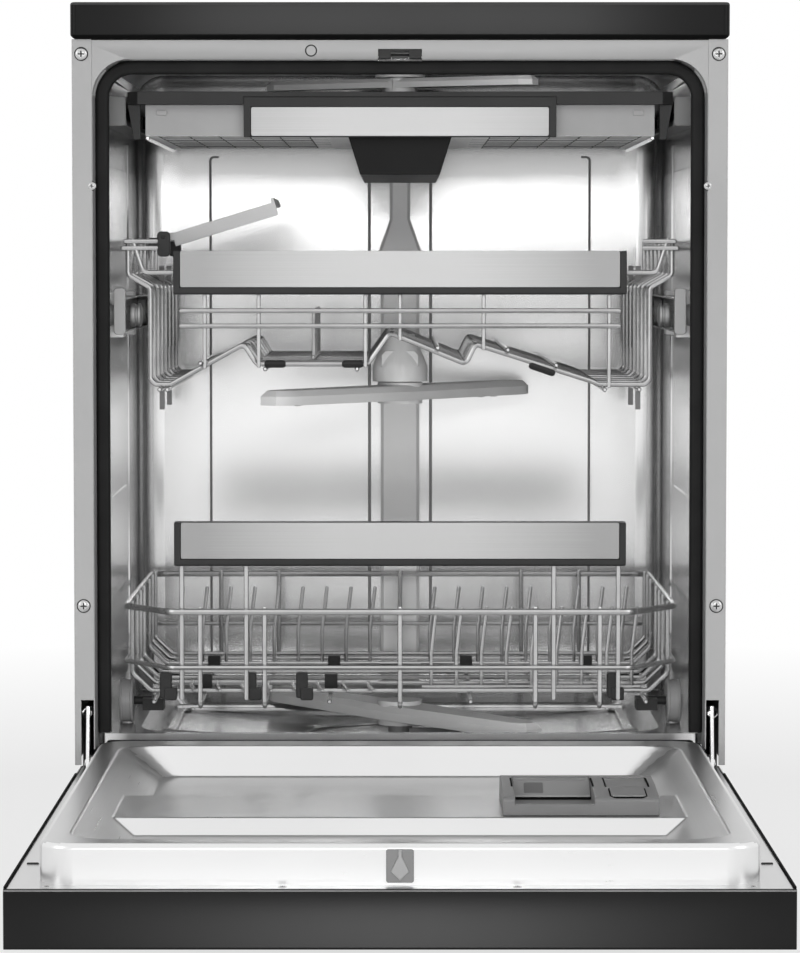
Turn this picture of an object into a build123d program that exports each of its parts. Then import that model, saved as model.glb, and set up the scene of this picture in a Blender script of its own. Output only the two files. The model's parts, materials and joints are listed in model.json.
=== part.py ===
"""Freestanding dishwasher, 60 cm wide, modelled with its door open and its racks in. Millimetres."""
import os

from build123d import *

# Frame: origin on the floor at the centre of the feet, +X right, +Y back, +Z up, front faces -Y
WIDTH = 600.0
DEPTH = 600.0
HEIGHT = 850.0
HALF = WIDTH / 2
Y_FRONT = -DEPTH / 2
Y_REAR = DEPTH / 2

# Shared clearances and sheet thicknesses
FIT = 0.3
BORE_FIT = 0.06
SHEET = 0.8
TUB_T = 1.0

# Door, given closed and drawn open; its closed face is the front of the whole machine
DOOR_SIDE_GAP = 2.0
DOOR_T = 46.0
DOOR_SETBACK = 1.0
DOOR_GAP = 3.0
DOOR_TOP_GAP = 4.0
DOOR_HEEL = 42.0
DOOR_WALL = 2.4
PIVOT_IN = 55.0
PIVOT_Z = 154.0
CONTROL_H = 118.0
WORKTOP_T = 33.0
WORKTOP_Z = HEIGHT - WORKTOP_T
DOOR_W = WIDTH - 2 * DOOR_SIDE_GAP
DOOR_FACE_Y = Y_FRONT + DOOR_SETBACK
FACE_Y = DOOR_FACE_Y + DOOR_T + DOOR_GAP
PIVOT_Y = DOOR_FACE_Y + PIVOT_IN
TIP_Y = PIVOT_Y - (WORKTOP_Z - DOOR_TOP_GAP - PIVOT_Z)
HEEL_Y = PIVOT_Y + DOOR_HEEL
DOOR_LOW_Z = PIVOT_Z - PIVOT_IN
FLANGE_Z = DOOR_LOW_Z + DOOR_T

# Worktop lid, a little proud of the cabinet front
WORKTOP_CORE_T = 17.0
WORKTOP_RIM = 16.0
WORKTOP_OVERHANG = 8.0
WORKTOP_FRONT = FACE_Y - WORKTOP_OVERHANG

# Door liner: a raised rim round a sunken middle with a plateau for the dispenser
BULGE_SIDE = 23.5
BULGE_H = 31.5
BULGE_R = 28.0
BULGE_FROM_TIP = 20.0
BULGE_FROM_PIVOT = 18.0
RIM_SIDE = 21.5
RIM_FRONT = 25.0
RIM_BACK = 36.0
SUNK = 26.5
SUNK_SLOPE = 17.0
SUNK_SLOPE_SIDE = 37.0
PLATEAU_H = 13.0
PLATEAU_SIDE = 41.0
PLATEAU_TUCK = 6.0
PLATEAU_NEAR = 249.0
PLATEAU_D = 128.0
PLATEAU_FAR = PLATEAU_NEAR + PLATEAU_D
BULGE_W = DOOR_W - 2 * BULGE_SIDE
BULGE_TO_TIP = PIVOT_Y - TIP_Y - BULGE_FROM_PIVOT
PLATEAU_W = BULGE_W - 2 * PLATEAU_SIDE
RIM_Z = FLANGE_Z + BULGE_H
SUNK_Z = RIM_Z - SUNK
PLATEAU_Z = SUNK_Z + PLATEAU_H

# Dispenser, on the right of the plateau
DISPENSER_W = 128.0
DISPENSER_H = 18.5
RINSE_AID_W = 49.0
DISPENSER_EDGE = 6.0
DISPENSER_FACE_H = 15.0
DISPENSER_LIP_H = 9.3
DISPENSER_WALL = 10.0
LID_NEAR = 57.0
LID_SLOPE = 22.0
LID_D = 47.0
FLAP_NEAR = 45.0
FLAP_PIVOT = 96.0
DISPENSER_X1 = PLATEAU_W / 2 - 21.5
DISPENSER_X0 = DISPENSER_X1 - DISPENSER_W
DISPENSER_SPLIT = DISPENSER_X1 - RINSE_AID_W
DISPENSER_NEAR = TIP_Y + PLATEAU_NEAR + DISPENSER_EDGE
DISPENSER_FAR = TIP_Y + PLATEAU_FAR - DISPENSER_EDGE
DISPENSER_Z = PLATEAU_Z + FIT

# Keys on the control panel, and the finger pocket beside them
BUTTON_FROM_SIDE = (148.0, 113.0, 78.0)
BUTTON_X = tuple(DOOR_W / 2 - side for side in BUTTON_FROM_SIDE)
BUTTON_Y = TIP_Y + 30.0
BUTTON_W = 20.0
BUTTON_D = 12.0
BUTTON_TRAVEL = 2.0
POCKET_HALF = 110.0
POCKET_NEAR = 50.0
POCKET_FAR = 104.0
POCKET_H = 27.0
POCKET_WALL = 3.0

# Side panels
PANEL_X = HALF - 1.0
PANEL_FLANGE = 18.0
PANEL_BOTTOM = 60.0
PANEL_CUT_Z = PIVOT_Z - 2.0
PANEL_CUT_Y = PIVOT_Y + 80.0
NOTCH_TOP = PIVOT_Z + 58.0
NOTCH_KEEP = 6.0

# Tub
TUB_HALF = HALF - 26.0
TUB_TOP = WORKTOP_Z - 11.0
TUB_R = 30.0
TUB_REAR = Y_REAR - 38.0
BACK_DEPTH = 36.0
MOUTH_HALF = HALF - 19.5
MOUTH_TOP = WORKTOP_Z - 18.0
MOUTH_R = 34.0
MOUTH_DEPTH = 44.0
STEP_Y = FACE_Y + MOUTH_DEPTH
FRAME_Y = FACE_Y + 1.0
FRAME_HALF = HALF - 8.0
FRAME_TOP = WORKTOP_Z - 1.0
LATCH_HALF = 20.0
LATCH_TOP = MOUTH_TOP + 9.0
GROOVE_X = (32.0, TUB_HALF - 75.0)
GROOVE_W = 3.6
GROOVE_D = 3.0
GROOVE_TOP = TUB_TOP - 83.0

# Tub floor and the track the lower rollers run on
LEDGE_Z = RIM_Z
LIP_Y = PIVOT_Y + 32.0
BASIN_HALF = TUB_HALF - 30.0
BASIN_FRONT = LIP_Y + 9.0
BASIN_REAR = TUB_REAR - 30.0
BASIN_Z = 156.0
BASIN_SLOPE = 16.0
FLOOR_T = 1.2
SUMP_Y = (LIP_Y + TUB_REAR) / 2 - 10.0
SUMP_R = 98.0
SUMP_Z = 147.0
SUMP_FLOOR = 72.0
WRAP_BOTTOM = LEDGE_Z - 10.0

# Door seal, pressed by the liner rim
SEAL_HALF = MOUTH_HALF - 9.5
SEAL_TOP = MOUTH_TOP - 10.5
SEAL_FRONT = FACE_Y - DOOR_GAP + BULGE_H + 0.5
SEAL_T = 14.0

# Base
BASE_HALF = PANEL_X - SHEET - FIT
BASE_FRONT = FACE_Y + 22.0
BASE_REAR = Y_REAR - 15.0
BASE_WALL_Y = PIVOT_Y + 78.0
BASE_Z = 22.0
BASE_T = 6.0
BASE_WALL = 3.0
BASE_TOP = 140.0
FOOT_X = HALF - 45.0
FOOT_Y = DEPTH / 3
FOOT_R = 20.0
FOOT_PAD = 10.0
STEM_R = 5.0
PLINTH_TOP = 80.0

# Hinges, springs and latch
BRACKET_X = MOUTH_HALF + TUB_T + 0.6
BRACKET_T = 3.0
ARM_X = BRACKET_X + BRACKET_T + 0.6
ARM_PLATE = 3.0
PIN_R = 4.0
PILLAR_NEAR = 80.0
PILLAR_D = 50.0
SPRING_X = HALF - 11.0
SPRING_Z = PIVOT_Z + 44.0
SPRING_R = 5.0
SPRING_RUN = DEPTH / 2
LATCH_HOOK_HALF = 8.0

# Rack handles, which set the height of each rack
RACK_HALF = TUB_HALF - 15.0
HANDLE_W = 2 * RACK_HALF - 99.0
HANDLE_H = 40.5
HANDLE_D = 22.0
HANDLE_FRONT = FACE_Y + 37.0
UPPER_HANDLE_DROP = 222.0
UPPER_HANDLE_Z = TUB_TOP - UPPER_HANDLE_DROP
LOWER_HANDLE_Z = LEDGE_Z + 156.0
FASCIA_T = 1.2

# Spray system
PIPE_R = 12.0
HUB_R = 22.0
RISER_W = 40.0
RISER_TOP_W = 21.0
RISER_FLARE_W = 45.0
RISER_FLARE_Z0 = UPPER_HANDLE_Z + 40.0
RISER_FLARE_Z1 = UPPER_HANDLE_Z + 74.0
RISER_D = 20.0
RISER_FRONT = TUB_REAR - RISER_D
LOWER_ARM_Z = LEDGE_Z - 12.5
MIDDLE_ARM_Z = UPPER_HANDLE_Z - 105.0
TOP_ARM_Z = TUB_TOP - 22.0
TOP_ARM_T = 9.0
TOP_ARM_ROOT = 30.0
TOP_ARM_TIP = 24.0
ARM_T = 14.0
ARM_LENGTH = RISER_FRONT - SUMP_Y - 21.0
TOP_ARM_LENGTH = ARM_LENGTH - 56.0
LOWER_ARM_TURN = -52.0
MIDDLE_ARM_TURN = 53.0
TOP_ARM_TURN = -30.0
COARSE_X = 34.0
COARSE_Y = -26.0
COARSE_R = 26.0
FEED_Z = UPPER_HANDLE_Z - 66.0
FEED_PIPE_R = 14.0
FEED_HUB_R = 27.0
DOME_H = 31.0
TOP_PIPE_R = 8.0
TOP_HUB_R = 15.0
INLET_R = 13.2
DRAIN_R = 10.0
INLET_X = -160.0
DRAIN_X = -110.0
INLET_Z = 72.0

# Rack wire
WIRE = 4.5
RIM_WIRE = 6.0
TINE_WIRE = 3.6
WIRE_SIDES = 6

# Lower basket
RACK_FRONT = HANDLE_FRONT + 5.0
RACK_REAR = TUB_REAR - 37.0
RACK_D = RACK_REAR - RACK_FRONT
RACK_CHAMFER_X = 44.0
RACK_CHAMFER_Y = 62.0
LOWER_RIM_TOP = LEDGE_Z + 113.0
LOWER_RIM_LOW = LEDGE_Z + 61.0
LOWER_BASE_Z = LEDGE_Z + 31.5
LOWER_BASE_HALF = RACK_HALF - 23.0
LONG_OUT = LOWER_BASE_HALF - 50.0
LONG_MID = LOWER_BASE_HALF - 110.0
LONG_IN = LOWER_BASE_HALF - 170.0
CROSS_SHARES = (0.169, 0.319, 0.434, 0.55, 0.734, 0.85, 0.954)
LOWER_CROSS_Y = tuple(RACK_FRONT + RACK_D * share for share in CROSS_SHARES)
HANDLE_POST_X = (HANDLE_W / 2 - 6.5, HANDLE_W / 2 - 66.5)
TINE_FIRST = 30.0
TINE_COUNT = 9
TINE_PITCH = (LOWER_BASE_HALF - TINE_FIRST - 14.0) / (TINE_COUNT - 1)
TINE_H = 78.0
TINE_AXLE_R = 2.0
COMB_Z = LOWER_BASE_Z + WIRE / 2 + TINE_AXLE_R + FIT
COMB_FRONT_Y = RACK_FRONT + 108.0
COMB_REAR_Y = RACK_REAR - 155.0
CLIP_X = (LONG_IN, LONG_OUT)
ROLLER_R = 21.0
ROLLER_X0 = RACK_HALF - 6.0
ROLLER_X1 = RACK_HALF + 7.0
ROLLER_Y = (RACK_FRONT + 80.0, RACK_REAR - 75.0)
AXLE_R = 4.0

# Upper basket: the bent cross wire from left to right, in shares of the half width and heights from the handle
UPPER_HALF = TUB_HALF - 21.5
UPPER_SIDE = 0.919 * UPPER_HALF
UPPER_PROFILE = tuple((share * UPPER_HALF, UPPER_HANDLE_Z + rise) for share, rise in (
    (-1.0, 47.0), (-1.0, 18.0), (-0.919, 6.5), (-0.919, -78.5), (-0.899, -83.5), (-0.844, -83.5),
    (-0.574, -46.0), (-0.527, -64.5), (-0.119, -64.5), (-0.038, -35.5), (0.242, -64.5), (0.277, -46.0),
    (0.705, -80.5), (0.731, -83.5), (0.899, -83.5), (0.919, -78.5), (0.919, 6.5), (1.0, 18.0), (1.0, 47.0)))
UPPER_FRONT = RACK_FRONT + 12.0
UPPER_REAR = TUB_REAR - 50.0
UPPER_CROSS_Y = tuple(UPPER_FRONT + (UPPER_REAR - UPPER_FRONT) * i / 7 for i in range(8))
UPPER_FRONT_Z = (UPPER_HANDLE_Z - 29.0, UPPER_HANDLE_Z - 15.0)
UPPER_POST_X = tuple(share * UPPER_HALF for share in (-0.717, -0.519, -0.127, 0.0, 0.307, 0.768))
UPPER_LOW_X = tuple(share * UPPER_HALF for share in (-0.883, -0.855, -0.495, -0.158, 0.752, 0.879))
UPPER_HIGH_X = tuple(share * UPPER_HALF for share in (-0.733, 0.139, 0.396, 0.574))
UPPER_TINE_X = -(UPPER_HALF - 170.5)
UPPER_TINE_H = 44.0
UPPER_TINE_PITCH = 32.0
UPPER_TINE_COUNT = 8
CUP_HINGE_X = -(UPPER_HALF - 28.5)
CUP_HINGE_Z = UPPER_HANDLE_Z + 54.0
CUP_TILT = 17.0
CUP_LENGTH = 110.0
CUP_FRONT = UPPER_FRONT + 86.0
CUP_REAR = UPPER_REAR - 152.0
CUP_D = CUP_REAR - CUP_FRONT
CUP_SKIRT = 12.0
CUP_SLOT_PITCH = 17.0
CUP_SLOT_W = 8.0
CUP_ARM_T = 8.0
CUP_ARM_H = 50.0

# Upper rails
RAIL_Z0 = UPPER_HANDLE_Z - 35.0
RAIL_Z1 = UPPER_HANDLE_Z - 3.0
RAIL_X0 = TUB_HALF - 20.0
RAIL_X1 = TUB_HALF - 9.0
RAIL_T = 1.6
RAIL_FRONT = HANDLE_FRONT + 13.0
RAIL_REAR = TUB_REAR - 30.0
GUIDE_Y = (RAIL_FRONT + 25.0, RAIL_FRONT + 160.0)
GUIDE_D = 28.0
GUIDE_LIP = 5.0
ADJUSTER_T = 7.0
ADJUSTER_FRONT = RAIL_REAR - 172.0
ADJUSTER_REAR = RAIL_REAR - 10.0
LEG_T = 5.0
LEG_TOP = UPPER_HANDLE_Z + 26.0
LEG_LOW = UPPER_HANDLE_Z - 117.0
LEG_Y = (RAIL_REAR - 167.0, RAIL_REAR - 47.0)

# Cutlery tray
TRAY_HALF = TUB_HALF - 22.0
TRAY_FRONT = HANDLE_FRONT + 2.0
TRAY_REAR = TUB_REAR - 40.0
TRAY_TOP = TUB_TOP - 35.0
TRAY_RIM_Z = TRAY_TOP - 12.0
TRAY_RIM_W = 16.0
TRAY_FLOOR = TRAY_TOP - 40.5
TRAY_WALL = 2.0
TRAY_POST = 32.0
TRAY_RUNNER_Z = TRAY_TOP - 26.0
TRAY_RUNNER_D = 62.0
TRAY_RAIL_H = 27.0
TRAY_CHANNEL_H = 17.0
TRAY_CHANNEL_WALL = 5.0
BIN_TOP_HALF = 48.0
BIN_LOW_HALF = 37.0
BIN_FLOOR = TRAY_TOP - 76.0
TRAY_HANDLE_W = 2 * TRAY_HALF - 216.0
TRAY_HANDLE_Z0 = TRAY_TOP - 41.0
TRAY_HANDLE_Z1 = TRAY_TOP - 14.0

# Pieces inside the base and beside the tub
PUMP_X = 185.0
PUMP_Z = 95.0
PUMP_R = 40.0
PUMP_LENGTH = 178.0
DRAIN_PUMP_X = -165.0
DRAIN_PUMP_Z = 90.0
DRAIN_PUMP_R = 26.0
DRAIN_PUMP_LENGTH = 115.0
CHAMBER_FRONT = SUMP_Y - 75.0
CHAMBER_REAR = SUMP_Y + 135.0
CHAMBER_LOW = LEDGE_Z + 123.5
CHAMBER_H = UPPER_HANDLE_Z - 24.0 - CHAMBER_LOW
BACK_RIB_X = (-HALF / 2, 0.0, HALF / 2)


def block(x0, x1, y0, y1, z0, z1):
    """Box between two coordinates on each axis."""
    return Pos((x0 + x1) / 2, (y0 + y1) / 2, (z0 + z1) / 2) * Box(x1 - x0, y1 - y0, z1 - z0)


def rounded_block(x0, x1, y0, y1, z0, z1, radius):
    """Box with rounded vertical edges."""
    outline = Pos((x0 + x1) / 2, (y0 + y1) / 2, z0) * RectangleRounded(x1 - x0, y1 - y0, radius)
    return extrude(outline, z1 - z0)


def post(x, y, z0, z1, radius):
    """Upright cylinder between two heights."""
    return Pos(x, y, (z0 + z1) / 2) * Cylinder(radius, z1 - z0)


def along_x(x0, x1, y, z, radius):
    """Cylinder lying along X."""
    return Pos((x0 + x1) / 2, y, z) * Rot(0, 90, 0) * Cylinder(radius, x1 - x0)


def along_y(x, y0, y1, z, radius):
    """Cylinder lying along Y."""
    return Pos(x, (y0 + y1) / 2, z) * Rot(90, 0, 0) * Cylinder(radius, y1 - y0)


def mirrored(shape):
    """Copy on the other side of the middle plane."""
    return mirror(shape, about=Plane.YZ)


def pair(shape):
    """A right-hand piece and its left-hand copy."""
    return [shape, mirrored(shape)]


def arch(half, top, bottom, radius):
    """Face with straight legs and rounded top corners, standing in XZ."""
    left = FilletPolyline((-half, bottom), (-half, top), (half, top), (half, bottom), radius=radius)
    return make_face(Plane.XZ * (left + Line((half, bottom), (-half, bottom))))


def extrude_y(face, y0, y1):
    """Solid of an XZ face between two depths."""
    return extrude(Pos(0, y1, 0) * face, y1 - y0, dir=(0, -1, 0))


def profile_x(points, x0, x1):
    """Solid of a YZ outline between two widths."""
    outline = Polyline(*[(x0, y, z) for y, z in points], close=True)
    return extrude(make_face(outline), x1 - x0, dir=(1, 0, 0))


def profile_y(points, y0, y1):
    """Solid of an XZ outline between two depths."""
    outline = Polyline(*[(x, y0, z) for x, z in points], close=True)
    return extrude(make_face(outline), y1 - y0, dir=(0, 1, 0))


def rod(start, end, diameter):
    """Straight wire between two points."""
    run = Vector(*end) - Vector(*start)
    section = Plane(origin=start, z_dir=run) * RegularPolygon(diameter / 2, WIRE_SIDES)
    return extrude(section, run.length, dir=run)


def bent_wire(points, diameter, radius=0.0, closed=False):
    """Wire bent through a row of points."""
    if radius:
        path = FilletPolyline(*points, radius=radius, close=closed)
    else:
        path = Polyline(*points)
    section = Plane(origin=path @ 0, z_dir=path % 0) * RegularPolygon(diameter / 2, WIRE_SIDES)
    return sweep(section, path=path, transition=Transition.RIGHT)


def save(name, *shapes):
    """Write one node, a single solid or a group of separate ones."""
    solids = [solid for shape in shapes for solid in shape.solids()]
    export_step(Compound(children=solids), os.path.join("parts", name + ".step"))


def worktop():
    slab = rounded_block(-HALF, HALF, WORKTOP_FRONT, Y_REAR, WORKTOP_Z, HEIGHT, 6)
    slab = chamfer(slab.edges().group_by(Axis.Z)[0], 3)
    slab = chamfer(slab.edges().group_by(Axis.Z)[-1], 1.5)
    inner = HALF - WORKTOP_RIM
    return slab - block(-inner, inner, WORKTOP_FRONT + WORKTOP_RIM, Y_REAR - WORKTOP_RIM,
                        WORKTOP_Z - 1, HEIGHT - WORKTOP_CORE_T)


def side_panel():
    inside = PANEL_X - SHEET
    rear = Y_REAR - 3 - FIT
    panel = block(inside, PANEL_X, FACE_Y, rear, PANEL_BOTTOM, WORKTOP_Z - FIT)
    panel -= block(inside - 1, PANEL_X + 1, FACE_Y - 1, PANEL_CUT_Y, PANEL_BOTTOM - 1, PANEL_CUT_Z)
    lip = PANEL_X - PANEL_FLANGE
    panel += block(lip, PANEL_X, FACE_Y, FACE_Y + SHEET, PANEL_CUT_Z, WORKTOP_Z - FIT)
    panel += block(PANEL_X - 14, PANEL_X, rear - SHEET, rear, PANEL_BOTTOM, WORKTOP_Z - FIT)
    panel += block(PANEL_X - 12, PANEL_X, FACE_Y + 40, rear, WORKTOP_Z - FIT - SHEET, WORKTOP_Z - FIT)
    return panel - block(lip - 1, PANEL_X - NOTCH_KEEP, FACE_Y - 1, FACE_Y + 2, PANEL_CUT_Z - 1, NOTCH_TOP)


def tub_wrapper():
    inner = arch(TUB_HALF, TUB_TOP, WRAP_BOTTOM, TUB_R)
    outer = arch(TUB_HALF + TUB_T, TUB_TOP + TUB_T, WRAP_BOTTOM, TUB_R + TUB_T)
    mouth_in = arch(MOUTH_HALF, MOUTH_TOP, WRAP_BOTTOM, MOUTH_R)
    mouth_out = arch(MOUTH_HALF + TUB_T, MOUTH_TOP + TUB_T, WRAP_BOTTOM, MOUTH_R + TUB_T)
    rear = TUB_REAR - BACK_DEPTH
    frame = block(-FRAME_HALF, FRAME_HALF, FRAME_Y, FRAME_Y + TUB_T, NOTCH_TOP + 2, FRAME_TOP)
    mouth = frame + extrude_y(mouth_out, FRAME_Y, STEP_Y + TUB_T)
    mouth -= extrude_y(mouth_in, FRAME_Y - 1, STEP_Y)
    mouth -= block(-LATCH_HALF, LATCH_HALF, FRAME_Y - 1, STEP_Y, MOUTH_TOP - 1, LATCH_TOP)
    shell = extrude_y(outer, STEP_Y, rear) - extrude_y(inner, STEP_Y + TUB_T, rear + 1)
    way = extrude_y(inner, STEP_Y - 1, STEP_Y + 2) & extrude_y(mouth_in, STEP_Y - 1, STEP_Y + 2)
    return mouth + shell - way - extrude_y(inner, STEP_Y + TUB_T, rear + 1)


def back_form(inset):
    """Rounded block whose skin is the rear pressing."""
    out = TUB_T - inset
    face = arch(TUB_HALF + out, TUB_TOP + out, WRAP_BOTTOM - 2 * inset, TUB_R + out)
    form = extrude_y(face, TUB_REAR - BACK_DEPTH + FIT, TUB_REAR + out)
    ends = form.edges().group_by(Axis.Y)[-1].sort_by(Axis.Z)
    return fillet(ends[1:], 28 - inset)


def tub_back():
    pan = back_form(0)
    for x in GROOVE_X:
        for side in (-x, x):
            pan += block(side - GROOVE_W / 2 - TUB_T, side + GROOVE_W / 2 + TUB_T, TUB_REAR - 2,
                         TUB_REAR + TUB_T + GROOVE_D, WRAP_BOTTOM + 30, GROOVE_TOP + 2)
    pan -= back_form(TUB_T)
    for x in GROOVE_X:
        for side in (-x, x):
            pan -= block(side - GROOVE_W / 2, side + GROOVE_W / 2, TUB_REAR - 3, TUB_REAR + GROOVE_D,
                         WRAP_BOTTOM + 32, GROOVE_TOP)
    return pan


def basin(grow, drop):
    """Basin of the tub floor: sloped sides, then a hopper towards the sump."""
    middle = (BASIN_FRONT + BASIN_REAR) / 2
    length = BASIN_REAR - BASIN_FRONT + 2 * grow
    width = 2 * (BASIN_HALF + grow)
    low_w, low_d = width - 2 * BASIN_SLOPE, length - 2 * BASIN_SLOPE
    low = Pos(0, middle, BASIN_Z - drop) * RectangleRounded(low_w, low_d, 40)
    top = Pos(0, middle, LEDGE_Z + (0 if drop else 0.01)) * RectangleRounded(width, length, 48)
    neck = Pos(0, SUMP_Y, SUMP_Z - drop) * RectangleRounded(2 * SUMP_R + 12, 2 * SUMP_R + 12, SUMP_R)
    return loft([top, low], ruled=True) + loft([low, neck], ruled=True)


def tub_floor():
    half = TUB_HALF - FIT
    plate = block(-half, half, LIP_Y, TUB_REAR - FIT, LEDGE_Z - FLOOR_T, LEDGE_Z)
    plate = fillet(plate.edges().filter_by(Axis.Z).sort_by(Axis.Y)[-2:], 28)
    lip = block(-half, half, LIP_Y, LIP_Y + FLOOR_T, FLANGE_Z + 6, LEDGE_Z)
    well = post(0, SUMP_Y, SUMP_Z - 20, SUMP_Z + 20, SUMP_R)
    return plate + lip + basin(FLOOR_T, FLOOR_T) - basin(0, 0) - well


def door_seals():
    outer = arch(MOUTH_HALF - 0.5, MOUTH_TOP - 0.5, LEDGE_Z + 2, MOUTH_R - 0.5)
    inner = arch(SEAL_HALF, SEAL_TOP, LEDGE_Z + 2, MOUTH_R - 9)
    seal = extrude_y(outer, SEAL_FRONT, SEAL_FRONT + SEAL_T) - extrude_y(inner, SEAL_FRONT - 1, STEP_Y + 1)
    lower = profile_x([(LIP_Y - FIT, FLANGE_Z + 8), (LIP_Y - 2, FLANGE_Z + 9), (LIP_Y - 2, LEDGE_Z - 6),
                       (LIP_Y - FIT, LEDGE_Z - 4)], -SEAL_HALF, SEAL_HALF)
    return [seal, lower]


def base_tray():
    floor = BASE_Z + BASE_T
    tray = block(-BASE_HALF, BASE_HALF, BASE_FRONT, BASE_REAR, BASE_Z, floor)
    rim = block(-BASE_HALF, BASE_HALF, BASE_WALL_Y, BASE_REAR, floor, BASE_TOP)
    inner = BASE_HALF - BASE_WALL
    rim -= block(-inner, inner, BASE_WALL_Y + BASE_WALL, BASE_REAR - BASE_WALL, floor - 1, BASE_TOP + 1)
    rim -= block(INLET_X - 30, DRAIN_X + 30, BASE_REAR - 10, BASE_REAR + 1, INLET_Z - 28, INLET_Z + 28)
    tray += rim
    for start, depth in ((PILLAR_NEAR, PILLAR_D), (SPRING_RUN - 4, 20)):
        y = PIVOT_Y + start
        for pillar in pair(block(BASE_HALF - 20, BASE_HALF, y, y + depth, floor, BASE_TOP)):
            tray += pillar
    for x in (-FOOT_X, FOOT_X):
        for y in (-FOOT_Y, FOOT_Y):
            tray += post(x, y, floor - 1, floor + 18, STEM_R + 6)
            tray -= post(x, y, BASE_Z - 1, floor + 20, STEM_R + FIT)
    return tray


def levelling_feet():
    feet = []
    for x in (-FOOT_X, FOOT_X):
        for y in (-FOOT_Y, FOOT_Y):
            pad = post(x, y, 0, FOOT_PAD, FOOT_R)
            nut = extrude(Pos(x, y, FOOT_PAD) * RegularPolygon(STEM_R + 5, 6), BASE_Z - FIT - FOOT_PAD)
            feet.append(pad + nut + post(x, y, FOOT_PAD, BASE_Z + BASE_T + 16, STEM_R))
    return feet


def plinth():
    half, front = PANEL_X - 3, BASE_FRONT - 2 - FIT
    face = block(-half, half, front, front + 2, 12, PLINTH_TOP)
    shelf = block(-half, half, front, BASE_FRONT + 30, PLINTH_TOP - 2, PLINTH_TOP)
    return face + shelf


def back_panel():
    half = PANEL_X - 1
    sheet = block(-half, half, Y_REAR - 3, Y_REAR - 3 + SHEET, PANEL_BOTTOM + 50, WORKTOP_Z - FIT)
    for x in BACK_RIB_X:
        sheet += block(x - 8, x + 8, Y_REAR - 3, Y_REAR, PANEL_BOTTOM + 140, WORKTOP_Z - 97)
    return sheet


def sump():
    """Bowl under the tub floor, with the pipe of the lower arm and a stub towards each pump."""
    low, rim, top = SUMP_FLOOR, SUMP_Z - 9, SUMP_Z - FLOOR_T - FIT
    pipe_top = LOWER_ARM_Z + ARM_T - 2
    outline = [(0, low), (SUMP_R - 28, low), (SUMP_R, rim), (SUMP_R + 8, rim), (SUMP_R + 8, top),
               (SUMP_R - 2, top), (SUMP_R - 2, rim), (SUMP_R - 30, low + 3), (PIPE_R, low + 3),
               (PIPE_R, pipe_top), (0, pipe_top)]
    section = make_face(Polyline(*[(r, 0, z) for r, z in outline], close=True))
    bowl = Pos(0, SUMP_Y, 0) * revolve(section, Axis.Z)
    bowl += along_x(SUMP_R - 30, PUMP_X - PUMP_R - 17, SUMP_Y, PUMP_Z, 18)
    return bowl + along_x(DRAIN_PUMP_X + DRAIN_PUMP_R + 11, 30 - SUMP_R, SUMP_Y, DRAIN_PUMP_Z, 11)


def fine_filter():
    plate = post(0, SUMP_Y, SUMP_Z - 4, SUMP_Z - 2, SUMP_R - 2 - FIT)
    plate -= post(0, SUMP_Y, SUMP_Z - 10, SUMP_Z, PIPE_R + FIT)
    return plate - post(COARSE_X, SUMP_Y + COARSE_Y, SUMP_Z - 10, SUMP_Z, COARSE_R + BORE_FIT)


def coarse_filter():
    x, y = COARSE_X, SUMP_Y + COARSE_Y
    cup = post(x, y, 92, SUMP_Z + 1, COARSE_R) - post(x, y, 95, SUMP_Z + 2, COARSE_R - 2.5)
    collar = post(x, y, SUMP_Z - 2 + FIT, SUMP_Z + 1, COARSE_R + 3)
    cup += collar - post(x, y, SUMP_Z - 5, SUMP_Z + 3, COARSE_R - 2.5)
    grip = block(x - COARSE_R + 1, x + COARSE_R - 1, y - 3, y + 3, SUMP_Z - 3, SUMP_Z + 10)
    return cup + grip


def circulation_pump():
    y0 = SUMP_Y - 35
    y1 = y0 + PUMP_LENGTH
    volute = along_y(PUMP_X, y0, y0 + 60, PUMP_Z, PUMP_R + 12)
    motor = along_y(PUMP_X, y0 + 60, y1 - 8, PUMP_Z, PUMP_R)
    motor += along_y(PUMP_X, y1 - 8, y1, PUMP_Z, PUMP_R - 16)
    return volute + motor + block(PUMP_X - 20, PUMP_X + 20, y0 + 10, y1 - 28, BASE_Z + BASE_T, PUMP_Z - 35)


def drain_pump():
    x, y0 = DRAIN_PUMP_X, SUMP_Y - 25
    y1 = y0 + DRAIN_PUMP_LENGTH
    body = along_y(x, y0, y0 + 50, DRAIN_PUMP_Z, DRAIN_PUMP_R + 8)
    body += along_y(x, y0 + 50, y1, DRAIN_PUMP_Z, DRAIN_PUMP_R)
    return body + block(x - 15, x + 15, y0 + 10, y1 - 15, BASE_Z + BASE_T, DRAIN_PUMP_Z - 20)


def inlet_valve():
    """Valve block behind the rear wall of the base, with the hose thread and the drain spigot."""
    inner = BASE_REAR - BASE_WALL - FIT
    valve = block(INLET_X - 40, DRAIN_X + 40, inner - 20, inner, INLET_Z - 32, INLET_Z + 32)
    valve += block(INLET_X - 26, DRAIN_X + 26, inner - 44, inner - 19, INLET_Z - 22, INLET_Z + 22)
    valve += along_y(INLET_X, inner - 1, Y_REAR - 2, INLET_Z, INLET_R)
    return valve + along_y(DRAIN_X, inner - 1, Y_REAR - 2, INLET_Z, DRAIN_R)


def water_chamber():
    x1 = -TUB_HALF - TUB_T - FIT
    x0 = -PANEL_X + SHEET + 2
    tank = block(x0, x1, CHAMBER_FRONT, CHAMBER_REAR, CHAMBER_LOW, CHAMBER_LOW + CHAMBER_H)
    tank = chamfer(tank.edges().filter_by(Axis.X), 14)
    for share in (0.23, 0.46, 0.69):
        z = CHAMBER_LOW + share * CHAMBER_H
        tank -= block(x0 - 1, x0 + 3, CHAMBER_FRONT + 30, CHAMBER_REAR - 30, z - 4, z + 4)
    return tank + block(x0, x1, CHAMBER_REAR - 60, CHAMBER_REAR - 26, BASE_TOP, CHAMBER_LOW + 20)


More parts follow.
